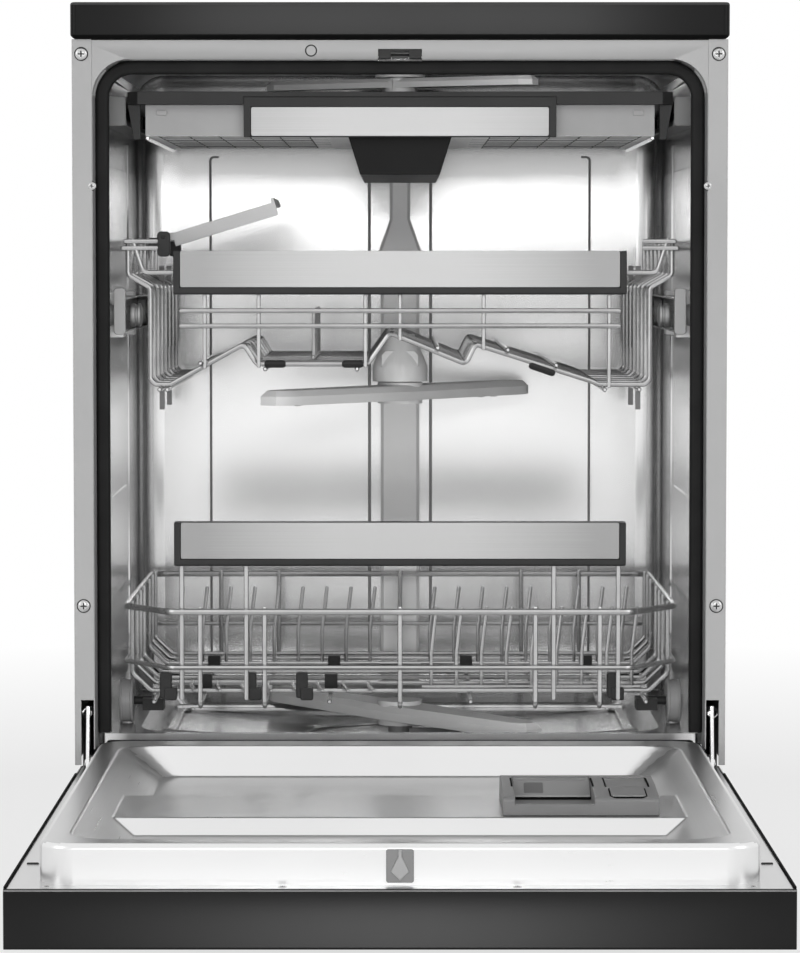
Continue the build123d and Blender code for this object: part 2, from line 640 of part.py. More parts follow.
def feed_pipe():
    """Riser on the rear wall, narrow above its flare, with a nozzle for the upper rack and a ceiling duct."""
    half, flare, neck = RISER_W / 2, RISER_FLARE_W / 2, RISER_TOP_W / 2
    sides = [(half, LEDGE_Z + FIT), (half, RISER_FLARE_Z0 - 6), (flare, RISER_FLARE_Z0), (neck, RISER_FLARE_Z1),
             (neck, TUB_TOP)]
    outline = sides + [(-x, z) for x, z in reversed(sides)]
    riser = profile_y(outline, RISER_FRONT, TUB_REAR)
    riser = chamfer(riser.faces().sort_by(Axis.Y)[0].edges(), 3) & back_form(TUB_T + FIT)
    duct = block(-20, 20, SUMP_Y - 30, RISER_FRONT - 6, TUB_TOP - 9, TUB_TOP - FIT)
    elbow = block(-18, 18, RISER_FRONT - 14, RISER_FRONT + 10, TUB_TOP - 24, TUB_TOP - 8)
    boss = post(0, SUMP_Y, TOP_ARM_Z + 1, TUB_TOP - 4, TOP_PIPE_R)
    boss += post(0, SUMP_Y, TUB_TOP - 12, TUB_TOP - 4, 24)
    nozzle = along_y(0, RISER_FRONT - 3, RISER_FRONT + 8, FEED_Z, 9)
    return riser + duct + elbow + boss + nozzle + along_y(0, RISER_FRONT - 1, RISER_FRONT + 8, FEED_Z, 17)


def spray_arm(z, pipe_r, hub_r, hub, bore, angle, length=ARM_LENGTH, root=52.0, tip=38.0, thick=ARM_T):
    """Two tapered wings on a hub that turns on a pipe over the sump."""
    inset = tip / 2
    plan = Polyline((0, -root / 2), (length - inset, -tip / 2), (length, -tip / 4), (length, tip / 4),
                    (length - inset, tip / 2), (0, root / 2), (-length + inset, tip / 2), (-length, tip / 4),
                    (-length, -tip / 4), (-length + inset, -tip / 2), close=True)
    wings = extrude(make_face(plan), thick)
    wings = chamfer(wings.edges().group_by(Axis.Z)[-1], thick * 0.4)
    wings = Pos(0, SUMP_Y, z) * Rot(0, 0, angle) * wings
    return wings + post(0, SUMP_Y, hub[0], hub[1], hub_r) - post(0, SUMP_Y, bore[0], bore[1], pipe_r + BORE_FIT)


def latch_housing():
    """Case over the latch notch, with a cheek on each side of the hook."""
    half = LATCH_HALF - FIT
    case = block(-half, half, FRAME_Y + 2, STEP_Y - FIT, MOUTH_TOP + 7, LATCH_TOP + 5)
    low = MOUTH_TOP + 0.5
    for cheek in pair(block(LATCH_HOOK_HALF + FIT, half, FRAME_Y + 2, FRAME_Y + 16, low, low + 7.5)):
        case += cheek
    return case - along_x(-half - 1, half + 1, FRAME_Y + 9, MOUTH_TOP + 3, 1.5 + BORE_FIT)


def latch_hook():
    y, z = FRAME_Y + 9, MOUTH_TOP + 3
    hook = along_x(-LATCH_HALF + 2, LATCH_HALF - 2, y, z, 1.5)
    return hook + profile_x([(y + 2, z - 1), (y - 6, z - 2.5), (y - 9, z - 3), (y - 9, z - 0.5),
                             (y + 2, z + 2)],
                            -LATCH_HOOK_HALF, LATCH_HOOK_HALF)


def hinge_bracket():
    """Plate that carries the door pivot, standing on the base, with the spring anchor behind it."""
    x0, x1 = BRACKET_X, BRACKET_X + BRACKET_T
    plate = along_x(x0, x1, PIVOT_Y, PIVOT_Z, 7)
    plate += block(x0, x1, PIVOT_Y, PIVOT_Y + PILLAR_NEAR + 4, PIVOT_Z - 7, PIVOT_Z + 7)
    y0, y1 = PIVOT_Y + PILLAR_NEAR, PIVOT_Y + PILLAR_NEAR + PILLAR_D
    plate += block(x0, x1, y0, y1, BASE_TOP, PIVOT_Z + 26)
    plate += block(x0, BASE_HALF - 2, y0, y1, BASE_TOP, BASE_TOP + 3)
    return plate + along_x(x0, ARM_X + ARM_PLATE + 2, PIVOT_Y, PIVOT_Z, PIN_R)


def spring_anchor():
    y = PIVOT_Y + SPRING_RUN
    return block(SPRING_X - 5, BASE_HALF - 2, y, y + 12, BASE_TOP, SPRING_Z + 8)


def balance_spring():
    return along_y(SPRING_X, PIVOT_Y + 9 + FIT, PIVOT_Y + SPRING_RUN - FIT, SPRING_Z, SPRING_R)


def hinge_arm():
    """Lever on the pivot: a horn for the spring and a leg along the door side."""
    x0, x1 = ARM_X, ARM_X + ARM_PLATE
    arm = profile_x([(PIVOT_Y - 9, PIVOT_Z + 6), (PIVOT_Y - 2, PIVOT_Z + 52), (PIVOT_Y + 9, PIVOT_Z + 52),
                     (PIVOT_Y + 9, PIVOT_Z), (PIVOT_Y + 6, PIVOT_Z - 30), (PIVOT_Y - 170, PIVOT_Z - 30),
                     (PIVOT_Y - 170, PIVOT_Z - 14), (PIVOT_Y - 10, PIVOT_Z - 12)], x0, x1)
    arm += block(x0, DOOR_W / 2 - DOOR_WALL, PIVOT_Y - 170, PIVOT_Y - 30, PIVOT_Z - 30, PIVOT_Z - 27)
    return arm - along_x(x0 - 1, x1 + 1, PIVOT_Y, PIVOT_Z, PIN_R + BORE_FIT)


def door_outer_panel():
    half = DOOR_W / 2
    start = TIP_Y + CONTROL_H + FIT
    pan = block(-half, half, start, HEEL_Y, DOOR_LOW_Z, FLANGE_Z)
    inner = half - DOOR_WALL
    return pan - block(-inner, inner, start - 1, HEEL_Y - DOOR_WALL, DOOR_LOW_Z + 1, FLANGE_Z + 1)


def control_panel():
    half = DOOR_W / 2
    end = TIP_Y + CONTROL_H
    panel = block(-half, half, TIP_Y, end, DOOR_LOW_Z, FLANGE_Z)
    panel = fillet(panel.edges().group_by(Axis.Y)[0].filter_by(Axis.X), 2)
    panel -= block(-half + DOOR_WALL, half - DOOR_WALL, TIP_Y + 3, end + 1, DOOR_LOW_Z + 3, FLANGE_Z + 1)
    near, far, t = TIP_Y + POCKET_NEAR, TIP_Y + POCKET_FAR, POCKET_WALL
    panel += block(-POCKET_HALF, POCKET_HALF, near, far, DOOR_LOW_Z, DOOR_LOW_Z + POCKET_H)
    inner = POCKET_HALF - t
    panel -= block(-inner, inner, near + t, far - t, DOOR_LOW_Z - 1, DOOR_LOW_Z + POCKET_H - t)
    for x in BUTTON_X:
        panel -= key_block(x, FIT, DOOR_LOW_Z - 1, DOOR_LOW_Z + 4)
    return panel


def key_block(x, grow, z0, z1):
    """Rounded plan of one key between two heights."""
    w, d = BUTTON_W / 2 + grow, BUTTON_D / 2 + grow
    return rounded_block(x - w, x + w, BUTTON_Y - d, BUTTON_Y + d, z0, z1, 2 + grow)


def push_button(x):
    """Key with a flange behind the panel."""
    return key_block(x, 0, DOOR_LOW_Z - 0.5, DOOR_LOW_Z + 6) + key_block(x, 2, DOOR_LOW_Z + 4, DOOR_LOW_Z + 6)


def control_board():
    z0 = DOOR_LOW_Z + 6 + BUTTON_TRAVEL + 1
    x0, x1 = BUTTON_X[0] - 30, BUTTON_X[-1] + 30
    board = block(x0, x1, TIP_Y + 8, TIP_Y + 90, z0, z0 + 14)
    for x in (x0 + 6, x1 - 6):
        board += post(x, TIP_Y + 80, DOOR_LOW_Z + 3, z0, 4)
    return board


def liner_form(inset):
    """Block whose skin is the raised part of the door liner."""
    near, far = TIP_Y + BULGE_FROM_TIP + inset, TIP_Y + BULGE_TO_TIP - inset
    half = BULGE_W / 2 - inset
    top = RIM_Z - inset
    form = rounded_block(-half, half, near, far, FLANGE_Z - 1 - inset, top, BULGE_R - inset)
    form = chamfer(form.edges().group_by(Axis.Z)[-1], 3 - inset / 2)
    sunk_near, sunk_far = near + RIM_FRONT - 2 * inset, far - RIM_BACK + 2 * inset
    sunk_half = half - RIM_SIDE + 2 * inset
    middle, length = (sunk_near + sunk_far) / 2, sunk_far - sunk_near
    upper = Pos(0, middle, top) * RectangleRounded(2 * sunk_half, length, 34)
    floor_w, floor_d = 2 * (sunk_half - SUNK_SLOPE_SIDE), length - 2 * SUNK_SLOPE
    lower = Pos(0, middle, SUNK_Z - inset) * RectangleRounded(floor_w, floor_d, 20)
    form -= loft([lower, upper], ruled=True)
    base_near, base_far = TIP_Y + PLATEAU_NEAR - 17 + inset, TIP_Y + PLATEAU_FAR + 14 - inset
    width = PLATEAU_W + 2 * PLATEAU_TUCK - 2 * inset
    foot = Pos(0, (base_near + base_far) / 2, SUNK_Z - inset - 1) * Rectangle(width, base_far - base_near)
    head = Pos(0, TIP_Y + (PLATEAU_NEAR + PLATEAU_FAR) / 2, PLATEAU_Z - inset)
    return form + loft([foot, head * Rectangle(width, PLATEAU_D - 2 * inset)], ruled=True)


def door_liner():
    half = DOOR_W / 2 - DOOR_WALL - FIT
    sheet = block(-half, half, TIP_Y + 3 + FIT, HEEL_Y - DOOR_WALL - FIT, FLANGE_Z - 1, FLANGE_Z)
    sheet = sheet + liner_form(0) - liner_form(1)
    x0, x1 = ARM_X - 1, ARM_X + ARM_PLATE + 1
    for slot in pair(block(x0, x1, PIVOT_Y - 16, PIVOT_Y + 14, FLANGE_Z - 2, FLANGE_Z + 1)):
        sheet -= slot
    return sheet


def latch_striker():
    y1 = TIP_Y + BULGE_FROM_TIP - FIT
    plate = block(-10.5, 10.5, y1 - 1.8, y1, FLANGE_Z + 2, RIM_Z - 4)
    z = (FLANGE_Z + RIM_Z) / 2
    diamond = profile_y([(-8, z), (0, z + 10), (8, z), (0, z - 10)], y1 - 3.2, y1 - 1)
    return plate + diamond


def dispenser_body():
    """Low box with a square front, a pocket for the sliding lid and a well under the rinse aid flap."""
    near, far, z = DISPENSER_NEAR, DISPENSER_FAR, DISPENSER_Z
    high = z + DISPENSER_H
    body = profile_x([(near, z), (near, z + DISPENSER_FACE_H), (near + 60, high), (far - 4, high), (far, z)],
                     DISPENSER_X0, DISPENSER_X1)
    body = fillet(body.edges().filter_by(Axis.X).filter_by_position(Axis.Z, z + 5, high + 1), 4)
    x0, x1 = DISPENSER_X0 + DISPENSER_WALL, DISPENSER_SPLIT - 4
    body -= block(x0, x1, near + 5, far - DISPENSER_WALL, z + 5, high + 1)
    body -= block(x0, x1, near - 1, near + 6, z + DISPENSER_LIP_H, high + 1)
    return body - block(DISPENSER_SPLIT + 7, DISPENSER_X1 - 6, near + FLAP_NEAR, near + FLAP_PIVOT + 4,
                        z + 12, high + 1)


def detergent_lid():
    """Sliding lid with a sloped front."""
    near, low = DISPENSER_NEAR + LID_NEAR, DISPENSER_Z + 5 + FIT
    high = DISPENSER_Z + DISPENSER_H - 0.7
    far = near + LID_D
    lid = profile_x([(near, low), (near, low + 3.2), (near + LID_SLOPE, high), (far, high), (far, low)],
                    DISPENSER_X0 + DISPENSER_WALL + FIT, DISPENSER_SPLIT - 4 - FIT)
    return fillet(lid.edges().filter_by(Axis.X).group_by(Axis.Z)[-1], 3)


def rinse_aid_flap():
    near, z = DISPENSER_NEAR, DISPENSER_Z
    x0, x1 = DISPENSER_SPLIT + 7 + FIT, DISPENSER_X1 - 6 - FIT
    low, top = z + 12 + FIT, z + DISPENSER_H - 1
    flap = block(x0, x1, near + FLAP_NEAR + FIT, near + FLAP_PIVOT, low, top)
    return flap + along_x(x0, x1, near + FLAP_PIVOT, (low + top) / 2, (top - low) / 2)


def rack_handle(z):
    """Hollow black bezel with a rounded lower lip; open at the back for the fingers."""
    half = HANDLE_W / 2
    bezel = block(-half, half, HANDLE_FRONT, HANDLE_FRONT + HANDLE_D, z, z + HANDLE_H)
    bezel = fillet(bezel.edges().group_by(Axis.Z)[0], 2)
    bezel -= block(-half + 4, half - 4, HANDLE_FRONT + 5, HANDLE_FRONT + HANDLE_D + 1, z + 5, z + HANDLE_H - 4)
    inner = half - 6
    return bezel - block(-inner, inner, HANDLE_FRONT - 1, HANDLE_FRONT + FASCIA_T, z + 6.5, z + HANDLE_H + 1)


def rack_fascia(z):
    half = HANDLE_W / 2 - 6 - FIT
    plate = block(-half, half, HANDLE_FRONT, HANDLE_FRONT + FASCIA_T - FIT / 2, z + 6.5 + FIT, z + HANDLE_H)
    return fillet(plate.edges().filter_by(Axis.Y), 2)


def rim_loop(z, diameter):
    """Rim wire round a basket, with cut front corners."""
    x, c = RACK_HALF, RACK_HALF - RACK_CHAMFER_X
    corner = RACK_FRONT + RACK_CHAMFER_Y
    points = [(c, RACK_FRONT, z), (x, corner, z), (x, RACK_REAR, z), (-x, RACK_REAR, z), (-x, corner, z),
              (-c, RACK_FRONT, z)]
    return bent_wire(points, diameter, radius=18, closed=True)


def lower_basket():
    inside = (RIM_WIRE + WIRE) / 2
    top = LOWER_RIM_TOP + 3
    wires = [rim_loop(LOWER_RIM_TOP, RIM_WIRE), rim_loop(LOWER_RIM_LOW, WIRE)]
    side = RACK_HALF - inside
    for y in LOWER_CROSS_Y:
        half = [(LOWER_BASE_HALF, LOWER_BASE_Z), (side, LOWER_BASE_Z + 17), (side, top)]
        run = [(-x, z) for x, z in reversed(half)] + half
        wires.append(bent_wire([(x, y, z) for x, z in run], WIRE))
    front, rear = RACK_FRONT + inside, RACK_REAR - inside
    low = LOWER_BASE_Z - WIRE
    for x in (-LONG_OUT, -LONG_MID, 0, LONG_MID, LONG_OUT):
        wires.append(bent_wire([(x, front, top), (x, front, low - 6), (x, front + 16, low), (x, rear, low),
                                (x, rear, top)], WIRE))
    for x in HANDLE_POST_X:
        wires += pair(rod((x, front, LOWER_BASE_Z), (x, front, LOWER_HANDLE_Z - FIT), WIRE))
    for x in (LONG_IN, LOWER_BASE_HALF - 6):
        wires += pair(rod((x, RACK_FRONT + 20, low), (x, rear, low), WIRE))
    wires.append(comb(COMB_FRONT_Y, 1, z=low + WIRE / 2 + TINE_AXLE_R))
    return wires


def comb(y, side, fold=0.0, z=COMB_Z):
    """Row of tines on one wire, standing or folded towards the front."""
    ends = (TINE_FIRST - 8, TINE_FIRST + (TINE_COUNT - 1) * TINE_PITCH + 8)
    x0, x1 = sorted(side * end for end in ends)
    row = along_x(x0, x1, 0, 0, TINE_AXLE_R)
    for i in range(TINE_COUNT):
        x = side * (TINE_FIRST + i * TINE_PITCH)
        row += rod((x, 0, 0), (x, 0, TINE_H), TINE_WIRE)
    return Pos(0, y, z) * Rot(fold, 0, 0) * row


def rack_clips():
    """Clips that hold the tine rows, and the roller carriers with their axles."""
    clips = []
    low = LOWER_BASE_Z - WIRE / 2 + FIT
    for y, sides in ((COMB_FRONT_Y, (-1,)), (COMB_REAR_Y, (-1, 1))):
        for side in sides:
            for x in CLIP_X:
                clip = block(side * x - 6, side * x + 6, y - 8, y + 8, low, COMB_Z + 8)
                clips.append(clip - along_x(side * x - 7, side * x + 7, y, COMB_Z, TINE_AXLE_R + BORE_FIT))
    z = LEDGE_Z + ROLLER_R + FIT
    for y in ROLLER_Y:
        top = LOWER_BASE_Z - 1.5 * WIRE - FIT
        carrier = block(LOWER_BASE_HALF - 12, LOWER_BASE_HALF + 8, y - 14, y + 14, z - 8, top)
        clips += pair(carrier + along_x(LOWER_BASE_HALF, ROLLER_X1 + 1, y, z, AXLE_R))
    return clips


def rollers(y):
    z = LEDGE_Z + ROLLER_R + FIT
    wheel = along_x(ROLLER_X0, ROLLER_X1, y, z, ROLLER_R)
    wheel -= along_x(ROLLER_X1 - 3, ROLLER_X1 + 1, y, z, ROLLER_R - 5)
    return pair(wheel - along_x(ROLLER_X0 - 1, ROLLER_X1 + 1, y, z, AXLE_R + BORE_FIT))


def profile_height(x):
    """Height of the upper cross wire at one place along it."""
    for (x0, z0), (x1, z1) in zip(UPPER_PROFILE, UPPER_PROFILE[1:]):
        if x0 <= x <= x1 and x1 > x0:
            return z0 + (z1 - z0) * (x - x0) / (x1 - x0)


def upper_basket():
    wires = []
    for y in UPPER_CROSS_Y:
        wires.append(bent_wire([(x, y, z) for x, z in UPPER_PROFILE], WIRE))
    y0, y1 = UPPER_CROSS_Y[0] - 6, UPPER_CROSS_Y[-1] + 4
    side, top = UPPER_PROFILE[0]
    rails = [(x, profile_height(x) - WIRE) for x in UPPER_LOW_X]
    rails += [(x, profile_height(x) + WIRE) for x in UPPER_HIGH_X]
    for x in (-side, side):
        rails += [(x + (4.3 if x > 0 else -4.3), top - 4), (x, top + WIRE / 2)]
    for x, z in rails:
        wires.append(rod((x, y0, z), (x, y1, z), WIRE))
    posts_y = UPPER_CROSS_Y[0] - (WIRE + TINE_WIRE) / 2
    for x in UPPER_POST_X:
        foot = profile_height(x) - WIRE / 2
        wires.append(rod((x, posts_y, foot), (x, posts_y, UPPER_HANDLE_Z - FIT), TINE_WIRE))
    front = posts_y - (WIRE + TINE_WIRE) / 2
    for z in UPPER_FRONT_Z:
        wires.append(rod((-HANDLE_POST_X[0], front, z), (HANDLE_POST_X[0], front, z), WIRE))
    inner = HANDLE_FRONT + 12
    low = UPPER_HANDLE_Z + HANDLE_H / 2
    wires += pair(bent_wire([(UPPER_HALF - 4.5, y0 + 1, top + 4), (UPPER_HALF - 14.5, inner, low),
                             (HANDLE_W / 2 + FIT, inner, low)], WIRE))
    return wires


def height_adjuster():
    """Plate outside the basket side, with two rollers that run in the rail and two long legs."""
    x0 = UPPER_SIDE + WIRE / 2 + FIT
    mid = (RAIL_Z0 + RAIL_Z1) / 2
    plate = block(x0, x0 + ADJUSTER_T, ADJUSTER_FRONT, ADJUSTER_REAR, RAIL_Z0 - 21, RAIL_Z1 + 3)
    for y in (ADJUSTER_FRONT + 45, ADJUSTER_REAR - 22):
        plate += along_x(x0 + ADJUSTER_T - 1, RAIL_X0 + 2, y, mid, 5)
        plate += along_x(RAIL_X0 + 1, RAIL_X1 - RAIL_T - FIT, y, mid, (RAIL_Z1 - RAIL_Z0) / 2 - RAIL_T - FIT)
    for y in LEG_Y:
        plate += block(x0, x0 + LEG_T, y - LEG_T / 2, y + LEG_T / 2, LEG_LOW, LEG_TOP)
    return plate


def upper_rail():
    rail = block(RAIL_X0, RAIL_X1, RAIL_FRONT, RAIL_REAR, RAIL_Z0, RAIL_Z1)
    low, high = RAIL_Z0 + RAIL_T, RAIL_Z1 - RAIL_T
    rail -= block(RAIL_X0 - 1, RAIL_X1 - RAIL_T, RAIL_FRONT - 1, RAIL_REAR + 1, low, high)
    cap = block(RAIL_X0, RAIL_X1, RAIL_FRONT - 6, RAIL_FRONT - FIT, RAIL_Z0 - 2, RAIL_Z1 + 9)
    return [rail, chamfer(cap.edges().filter_by(Axis.Y), 2)]


def rail_brackets():
    """Guides on the tub wall that hold the moving rails."""
    guides = []
    out = TUB_HALF - FIT
    for y in GUIDE_Y:
        y0, y1 = y - GUIDE_D / 2, y + GUIDE_D / 2
        guide = block(RAIL_X0 + 3, out, y0, y1, RAIL_Z0 - GUIDE_LIP, RAIL_Z1 + GUIDE_LIP)
        guide -= block(RAIL_X0, RAIL_X1 + FIT, y0 - 1, y1 + 1, RAIL_Z0 - FIT, RAIL_Z1 + FIT)
        guides += pair(guide)
    return guides


def cup_shelf():
    """Tilted shelf with a rounded hinge edge, slots, a front skirt and a raised end."""
    y0, y1 = CUP_FRONT, CUP_FRONT + CUP_D
    shelf = block(0, CUP_LENGTH, y0, y1, -2, 1)
    for i in range(5):
        x = 16 + CUP_SLOT_PITCH * i
        shelf -= block(x, x + CUP_SLOT_W, y0 + 15, y1 - 15, -3, 2)
    shelf += block(3, CUP_LENGTH, y0, y0 + 2, -CUP_SKIRT, 0) - block(-1, 8, y0 - 1, y0 + 3, -CUP_SKIRT - 1, -6)
    shelf += block(CUP_LENGTH - 3, CUP_LENGTH, y0, y1, -2, 5)
    shelf += along_y(0, y0, y1, 0, 4)
    shelf -= along_y(0, y0 - 1, y1 + 1, 0, 2 + BORE_FIT)
    return Pos(CUP_HINGE_X, 0, CUP_HINGE_Z) * Rot(0, -CUP_TILT, 0) * shelf


def cup_bracket():
    """Arms that carry the cup shelf pin over the basket side."""
    x, z, low = CUP_HINGE_X, CUP_HINGE_Z, CUP_HINGE_Z - CUP_ARM_H
    y0, y1 = CUP_FRONT - 5 - CUP_ARM_T, CUP_FRONT + CUP_D + 5 + CUP_ARM_T
    bracket = along_y(x, y0 + 1, y1 - 1, z, 2) + block(x - 5, x + 4, y0, y1, low, low + 6)
    outline = [(x - 5, low + 5), (x + 4, low + 5), (x + 6, z + 5), (x - 6, z + 5)]
    for start in (y0, y1 - CUP_ARM_T):
        bracket += profile_y(outline, start, start + CUP_ARM_T)
    return bracket


def spray_feed():
    """Duct under the upper basket that docks on the riser nozzle, with a dome over the middle arm."""
    duct = block(-18, 18, SUMP_Y - 20, RISER_FRONT - 4, FEED_Z - 10, FEED_Z + 9)
    duct = chamfer(duct.edges().filter_by(Axis.Y), 4)
    cup = along_y(0, RISER_FRONT - 14, RISER_FRONT - 3 - FIT, FEED_Z, 14)
    hub_low, hub_top = MIDDLE_ARM_Z + ARM_T + 4, FEED_Z - 6
    hub = post(0, SUMP_Y, hub_low, hub_top, FEED_HUB_R)
    dome = Pos(0, SUMP_Y, hub_top + DOME_H / 2) * Cone(FEED_HUB_R, FEED_PIPE_R, DOME_H)
    return duct + cup + hub + dome + post(0, SUMP_Y, MIDDLE_ARM_Z + 1, hub_low + 1, FEED_PIPE_R)


def upper_tine_row():
    z = profile_height(UPPER_TINE_X) + WIRE / 2 + TINE_AXLE_R + FIT
    first = -UPPER_TINE_PITCH * (UPPER_TINE_COUNT - 1) / 2
    row = along_y(UPPER_TINE_X, first - 18, 18 - first, z, TINE_AXLE_R)
    for i in range(UPPER_TINE_COUNT):
        y = first + UPPER_TINE_PITCH * i
        row += rod((UPPER_TINE_X, y, z), (UPPER_TINE_X, y, z + UPPER_TINE_H), TINE_WIRE)
    return row


def tray_frame():
    """Black rim with its handle surround, side runners and deep middle bin."""
    rim = block(-TRAY_HALF, TRAY_HALF, TRAY_FRONT, TRAY_REAR, TRAY_RIM_Z, TRAY_TOP)
    rim = chamfer(rim.edges().filter_by(Axis.Z).sort_by(Axis.Y)[:2], 10)
    inner = TRAY_HALF - TRAY_RIM_W
    rim -= block(-inner, inner, TRAY_FRONT + TRAY_RIM_W, TRAY_REAR - TRAY_RIM_W, TRAY_RIM_Z - 1, TRAY_TOP + 1)
    half = TRAY_HANDLE_W / 2
    rim += block(-half, half, TRAY_FRONT - 2, TRAY_FRONT + 12, TRAY_HANDLE_Z0 - 1, TRAY_TOP - 5)
    low, high = TRAY_HANDLE_Z0 - 2, TRAY_HANDLE_Z1
    rim -= block(-half + 6.5, half - 6.5, TRAY_FRONT - 3, TRAY_FRONT - 2 + FASCIA_T, low, high)
    rim -= block(-half + 4, half - 4, TRAY_FRONT + 3, TRAY_FRONT + 13, low, high)
    rear = TRAY_REAR - TRAY_RUNNER_D
    for side in (-1, 1):
        x0, x1 = sorted((side * (TRAY_HALF - 12), side * TRAY_HALF))
        rim += block(x0, x1, TRAY_FRONT + 10, TRAY_FRONT + 16, TRAY_RIM_Z - TRAY_POST, TRAY_RIM_Z)
        x0, x1 = sorted((side * (TRAY_HALF - 4), side * (TRAY_HALF + 10)))
        rim += block(x0, x1, rear, TRAY_REAR, TRAY_RUNNER_Z + FIT, TRAY_RIM_Z + 2)
    return rim


def bin_form(wall, top, y0, y1):
    """Block that tapers towards its floor, drawn in by a wall."""
    half, low_half, low = BIN_TOP_HALF - wall, BIN_LOW_HALF - wall, BIN_FLOOR + wall
    return profile_y([(-half, top), (-half, TRAY_FLOOR), (-low_half, low), (low_half, low), (half, TRAY_FLOOR),
                      (half, top)], y0, y1)


def middle_bin():
    """Deep open bin between the two trays."""
    y0, y1 = TRAY_FRONT + TRAY_RIM_W + FIT, TRAY_REAR - TRAY_RIM_W - FIT
    return bin_form(0, TRAY_TOP - 2, y0, y1) - bin_form(TRAY_WALL, TRAY_TOP, y0 + TRAY_WALL, y1 - TRAY_WALL)


def tray_insert():
    """Shallow tray with ribs that hold cutlery apart."""
    x0, x1 = BIN_TOP_HALF + FIT, TRAY_HALF - TRAY_RIM_W - FIT
    y0, y1 = TRAY_FRONT + TRAY_RIM_W + FIT, TRAY_REAR - TRAY_RIM_W - FIT
    tray = block(x0, x1, y0, y1, TRAY_FLOOR, TRAY_TOP - 3)
    t = TRAY_WALL
    tray -= block(x0 + t, x1 - t, y0 + t, y1 - t, TRAY_FLOOR + t, TRAY_TOP)
    for i in range(1, 5):
        x = x0 + (x1 - x0) * i / 5
        tray += block(x - 1, x + 1, y0 + 1, y1 - 1, TRAY_FLOOR + 1, TRAY_FLOOR + 16)
    for i in range(6):
        y = y0 + 30 + (y1 - y0 - 60) * i / 6
        tray -= block(x0 + 20, x1 - 20, y, y + 12, TRAY_FLOOR - 1, TRAY_FLOOR + TRAY_WALL + 0.5)
    return tray


def tray_fascia():
    half = TRAY_HANDLE_W / 2 - 6.5 - FIT
    y = TRAY_FRONT - 2
    plate = block(-half, half, y, y + FASCIA_T - FIT / 2, TRAY_HANDLE_Z0, TRAY_HANDLE_Z1 - FIT)
    return fillet(plate.edges().filter_by(Axis.Y), 2)


def tray_rail():
    """Channel on the tub wall for the tray runners."""
    out = TUB_HALF - FIT
    y0, y1 = TRAY_FRONT + 19, TRAY_REAR + 4
    low, floor = TRAY_RUNNER_Z - TRAY_CHANNEL_WALL, TRAY_RUNNER_Z
    rail = block(TRAY_HALF + 1, out, y0, y1, low, low + TRAY_RAIL_H)
    return rail - block(TRAY_HALF, out - 2.5, y0 - 1, y1 + 1, floor, floor + TRAY_CHANNEL_H)


def main():
    os.makedirs("parts", exist_ok=True)
    save("worktop", worktop())
    right = side_panel()
    save("side_panel_right", right)
    save("side_panel_left", mirrored(right))
    save("tub_wrapper", tub_wrapper())
    save("tub_back", tub_back())
    save("tub_floor", tub_floor())
    save("door_seals", *door_seals())
    save("base_tray", base_tray())
    save("levelling_feet", *levelling_feet())
    save("plinth", plinth())
    save("back_panel", back_panel())
    save("sump", sump())
    save("fine_filter", fine_filter())
    save("coarse_filter", coarse_filter())
    save("wash_pumps", circulation_pump(), drain_pump())
    save("water_inlet", inlet_valve(), water_chamber())
    save("feed_pipe", feed_pipe())
    z = LOWER_ARM_Z
    save("lower_spray_arm", spray_arm(z, PIPE_R, HUB_R, (z - 6, z + ARM_T + 4), (z - 7, z + ARM_T),
                                      LOWER_ARM_TURN))
    z = MIDDLE_ARM_Z
    save("middle_spray_arm", spray_arm(z, FEED_PIPE_R, HUB_R, (z - 4, z + ARM_T + 3), (z, z + ARM_T + 4),
                                       MIDDLE_ARM_TURN))
    z = TOP_ARM_Z
    save("ceiling_spray_arm", spray_arm(z, TOP_PIPE_R, TOP_HUB_R, (z - 5, z + TOP_ARM_T),
                                        (z, z + TOP_ARM_T + 1), TOP_ARM_TURN, length=TOP_ARM_LENGTH,
                                        root=TOP_ARM_ROOT, tip=TOP_ARM_TIP, thick=TOP_ARM_T))
    save("latch_housing", latch_housing())
    save("latch_hook", latch_hook())
    save("hinge_brackets", *pair(hinge_bracket()), *pair(spring_anchor()))
    save("balance_springs", *pair(balance_spring()))
    save("hinge_arms", *pair(hinge_arm()))
    save("door_outer_panel", door_outer_panel())
    save("control_panel", control_panel())
    for name, x in zip(("power_button", "program_button", "start_button"), BUTTON_X):
        save(name, push_button(x))
    save("control_board", control_board())
    save("door_liner", door_liner())
    save("latch_striker", latch_striker())
    save("dispenser_body", dispenser_body())
    save("detergent_lid", detergent_lid())
    save("rinse_aid_flap", rinse_aid_flap())
    save("upper_basket", *upper_basket())
    save("upper_handle_bezel", rack_handle(UPPER_HANDLE_Z))
    save("upper_handle_fascia", rack_fascia(UPPER_HANDLE_Z))
    save("height_adjusters", *pair(height_adjuster()))
    rail, cap = upper_rail()
    save("upper_rails", *pair(rail))
    save("rail_caps", *pair(cap))
    save("rail_brackets", *rail_brackets())
    save("cup_shelf", cup_shelf())
    save("cup_bracket", cup_bracket())
    save("spray_feed", spray_feed())
    save("upper_tine_row", upper_tine_row())
    save("lower_basket", *lower_basket())
    save("lower_handle_bezel", rack_handle(LOWER_HANDLE_Z))
    save("lower_handle_fascia", rack_fascia(LOWER_HANDLE_Z))
    save("rack_clips", *rack_clips())
    save("left_front_tines", comb(COMB_FRONT_Y, -1, fold=90))
    save("left_rear_tines", comb(COMB_REAR_Y, -1))
    save("right_rear_tines", comb(COMB_REAR_Y, 1))
    save("front_rollers", *rollers(ROLLER_Y[0]))
    save("rear_rollers", *rollers(ROLLER_Y[1]))
    save("tray_frame", tray_frame(), middle_bin())
    save("tray_inserts", *pair(tray_insert()))
    save("tray_fascia", tray_fascia())
    save("tray_rails", *pair(tray_rail()))


main()
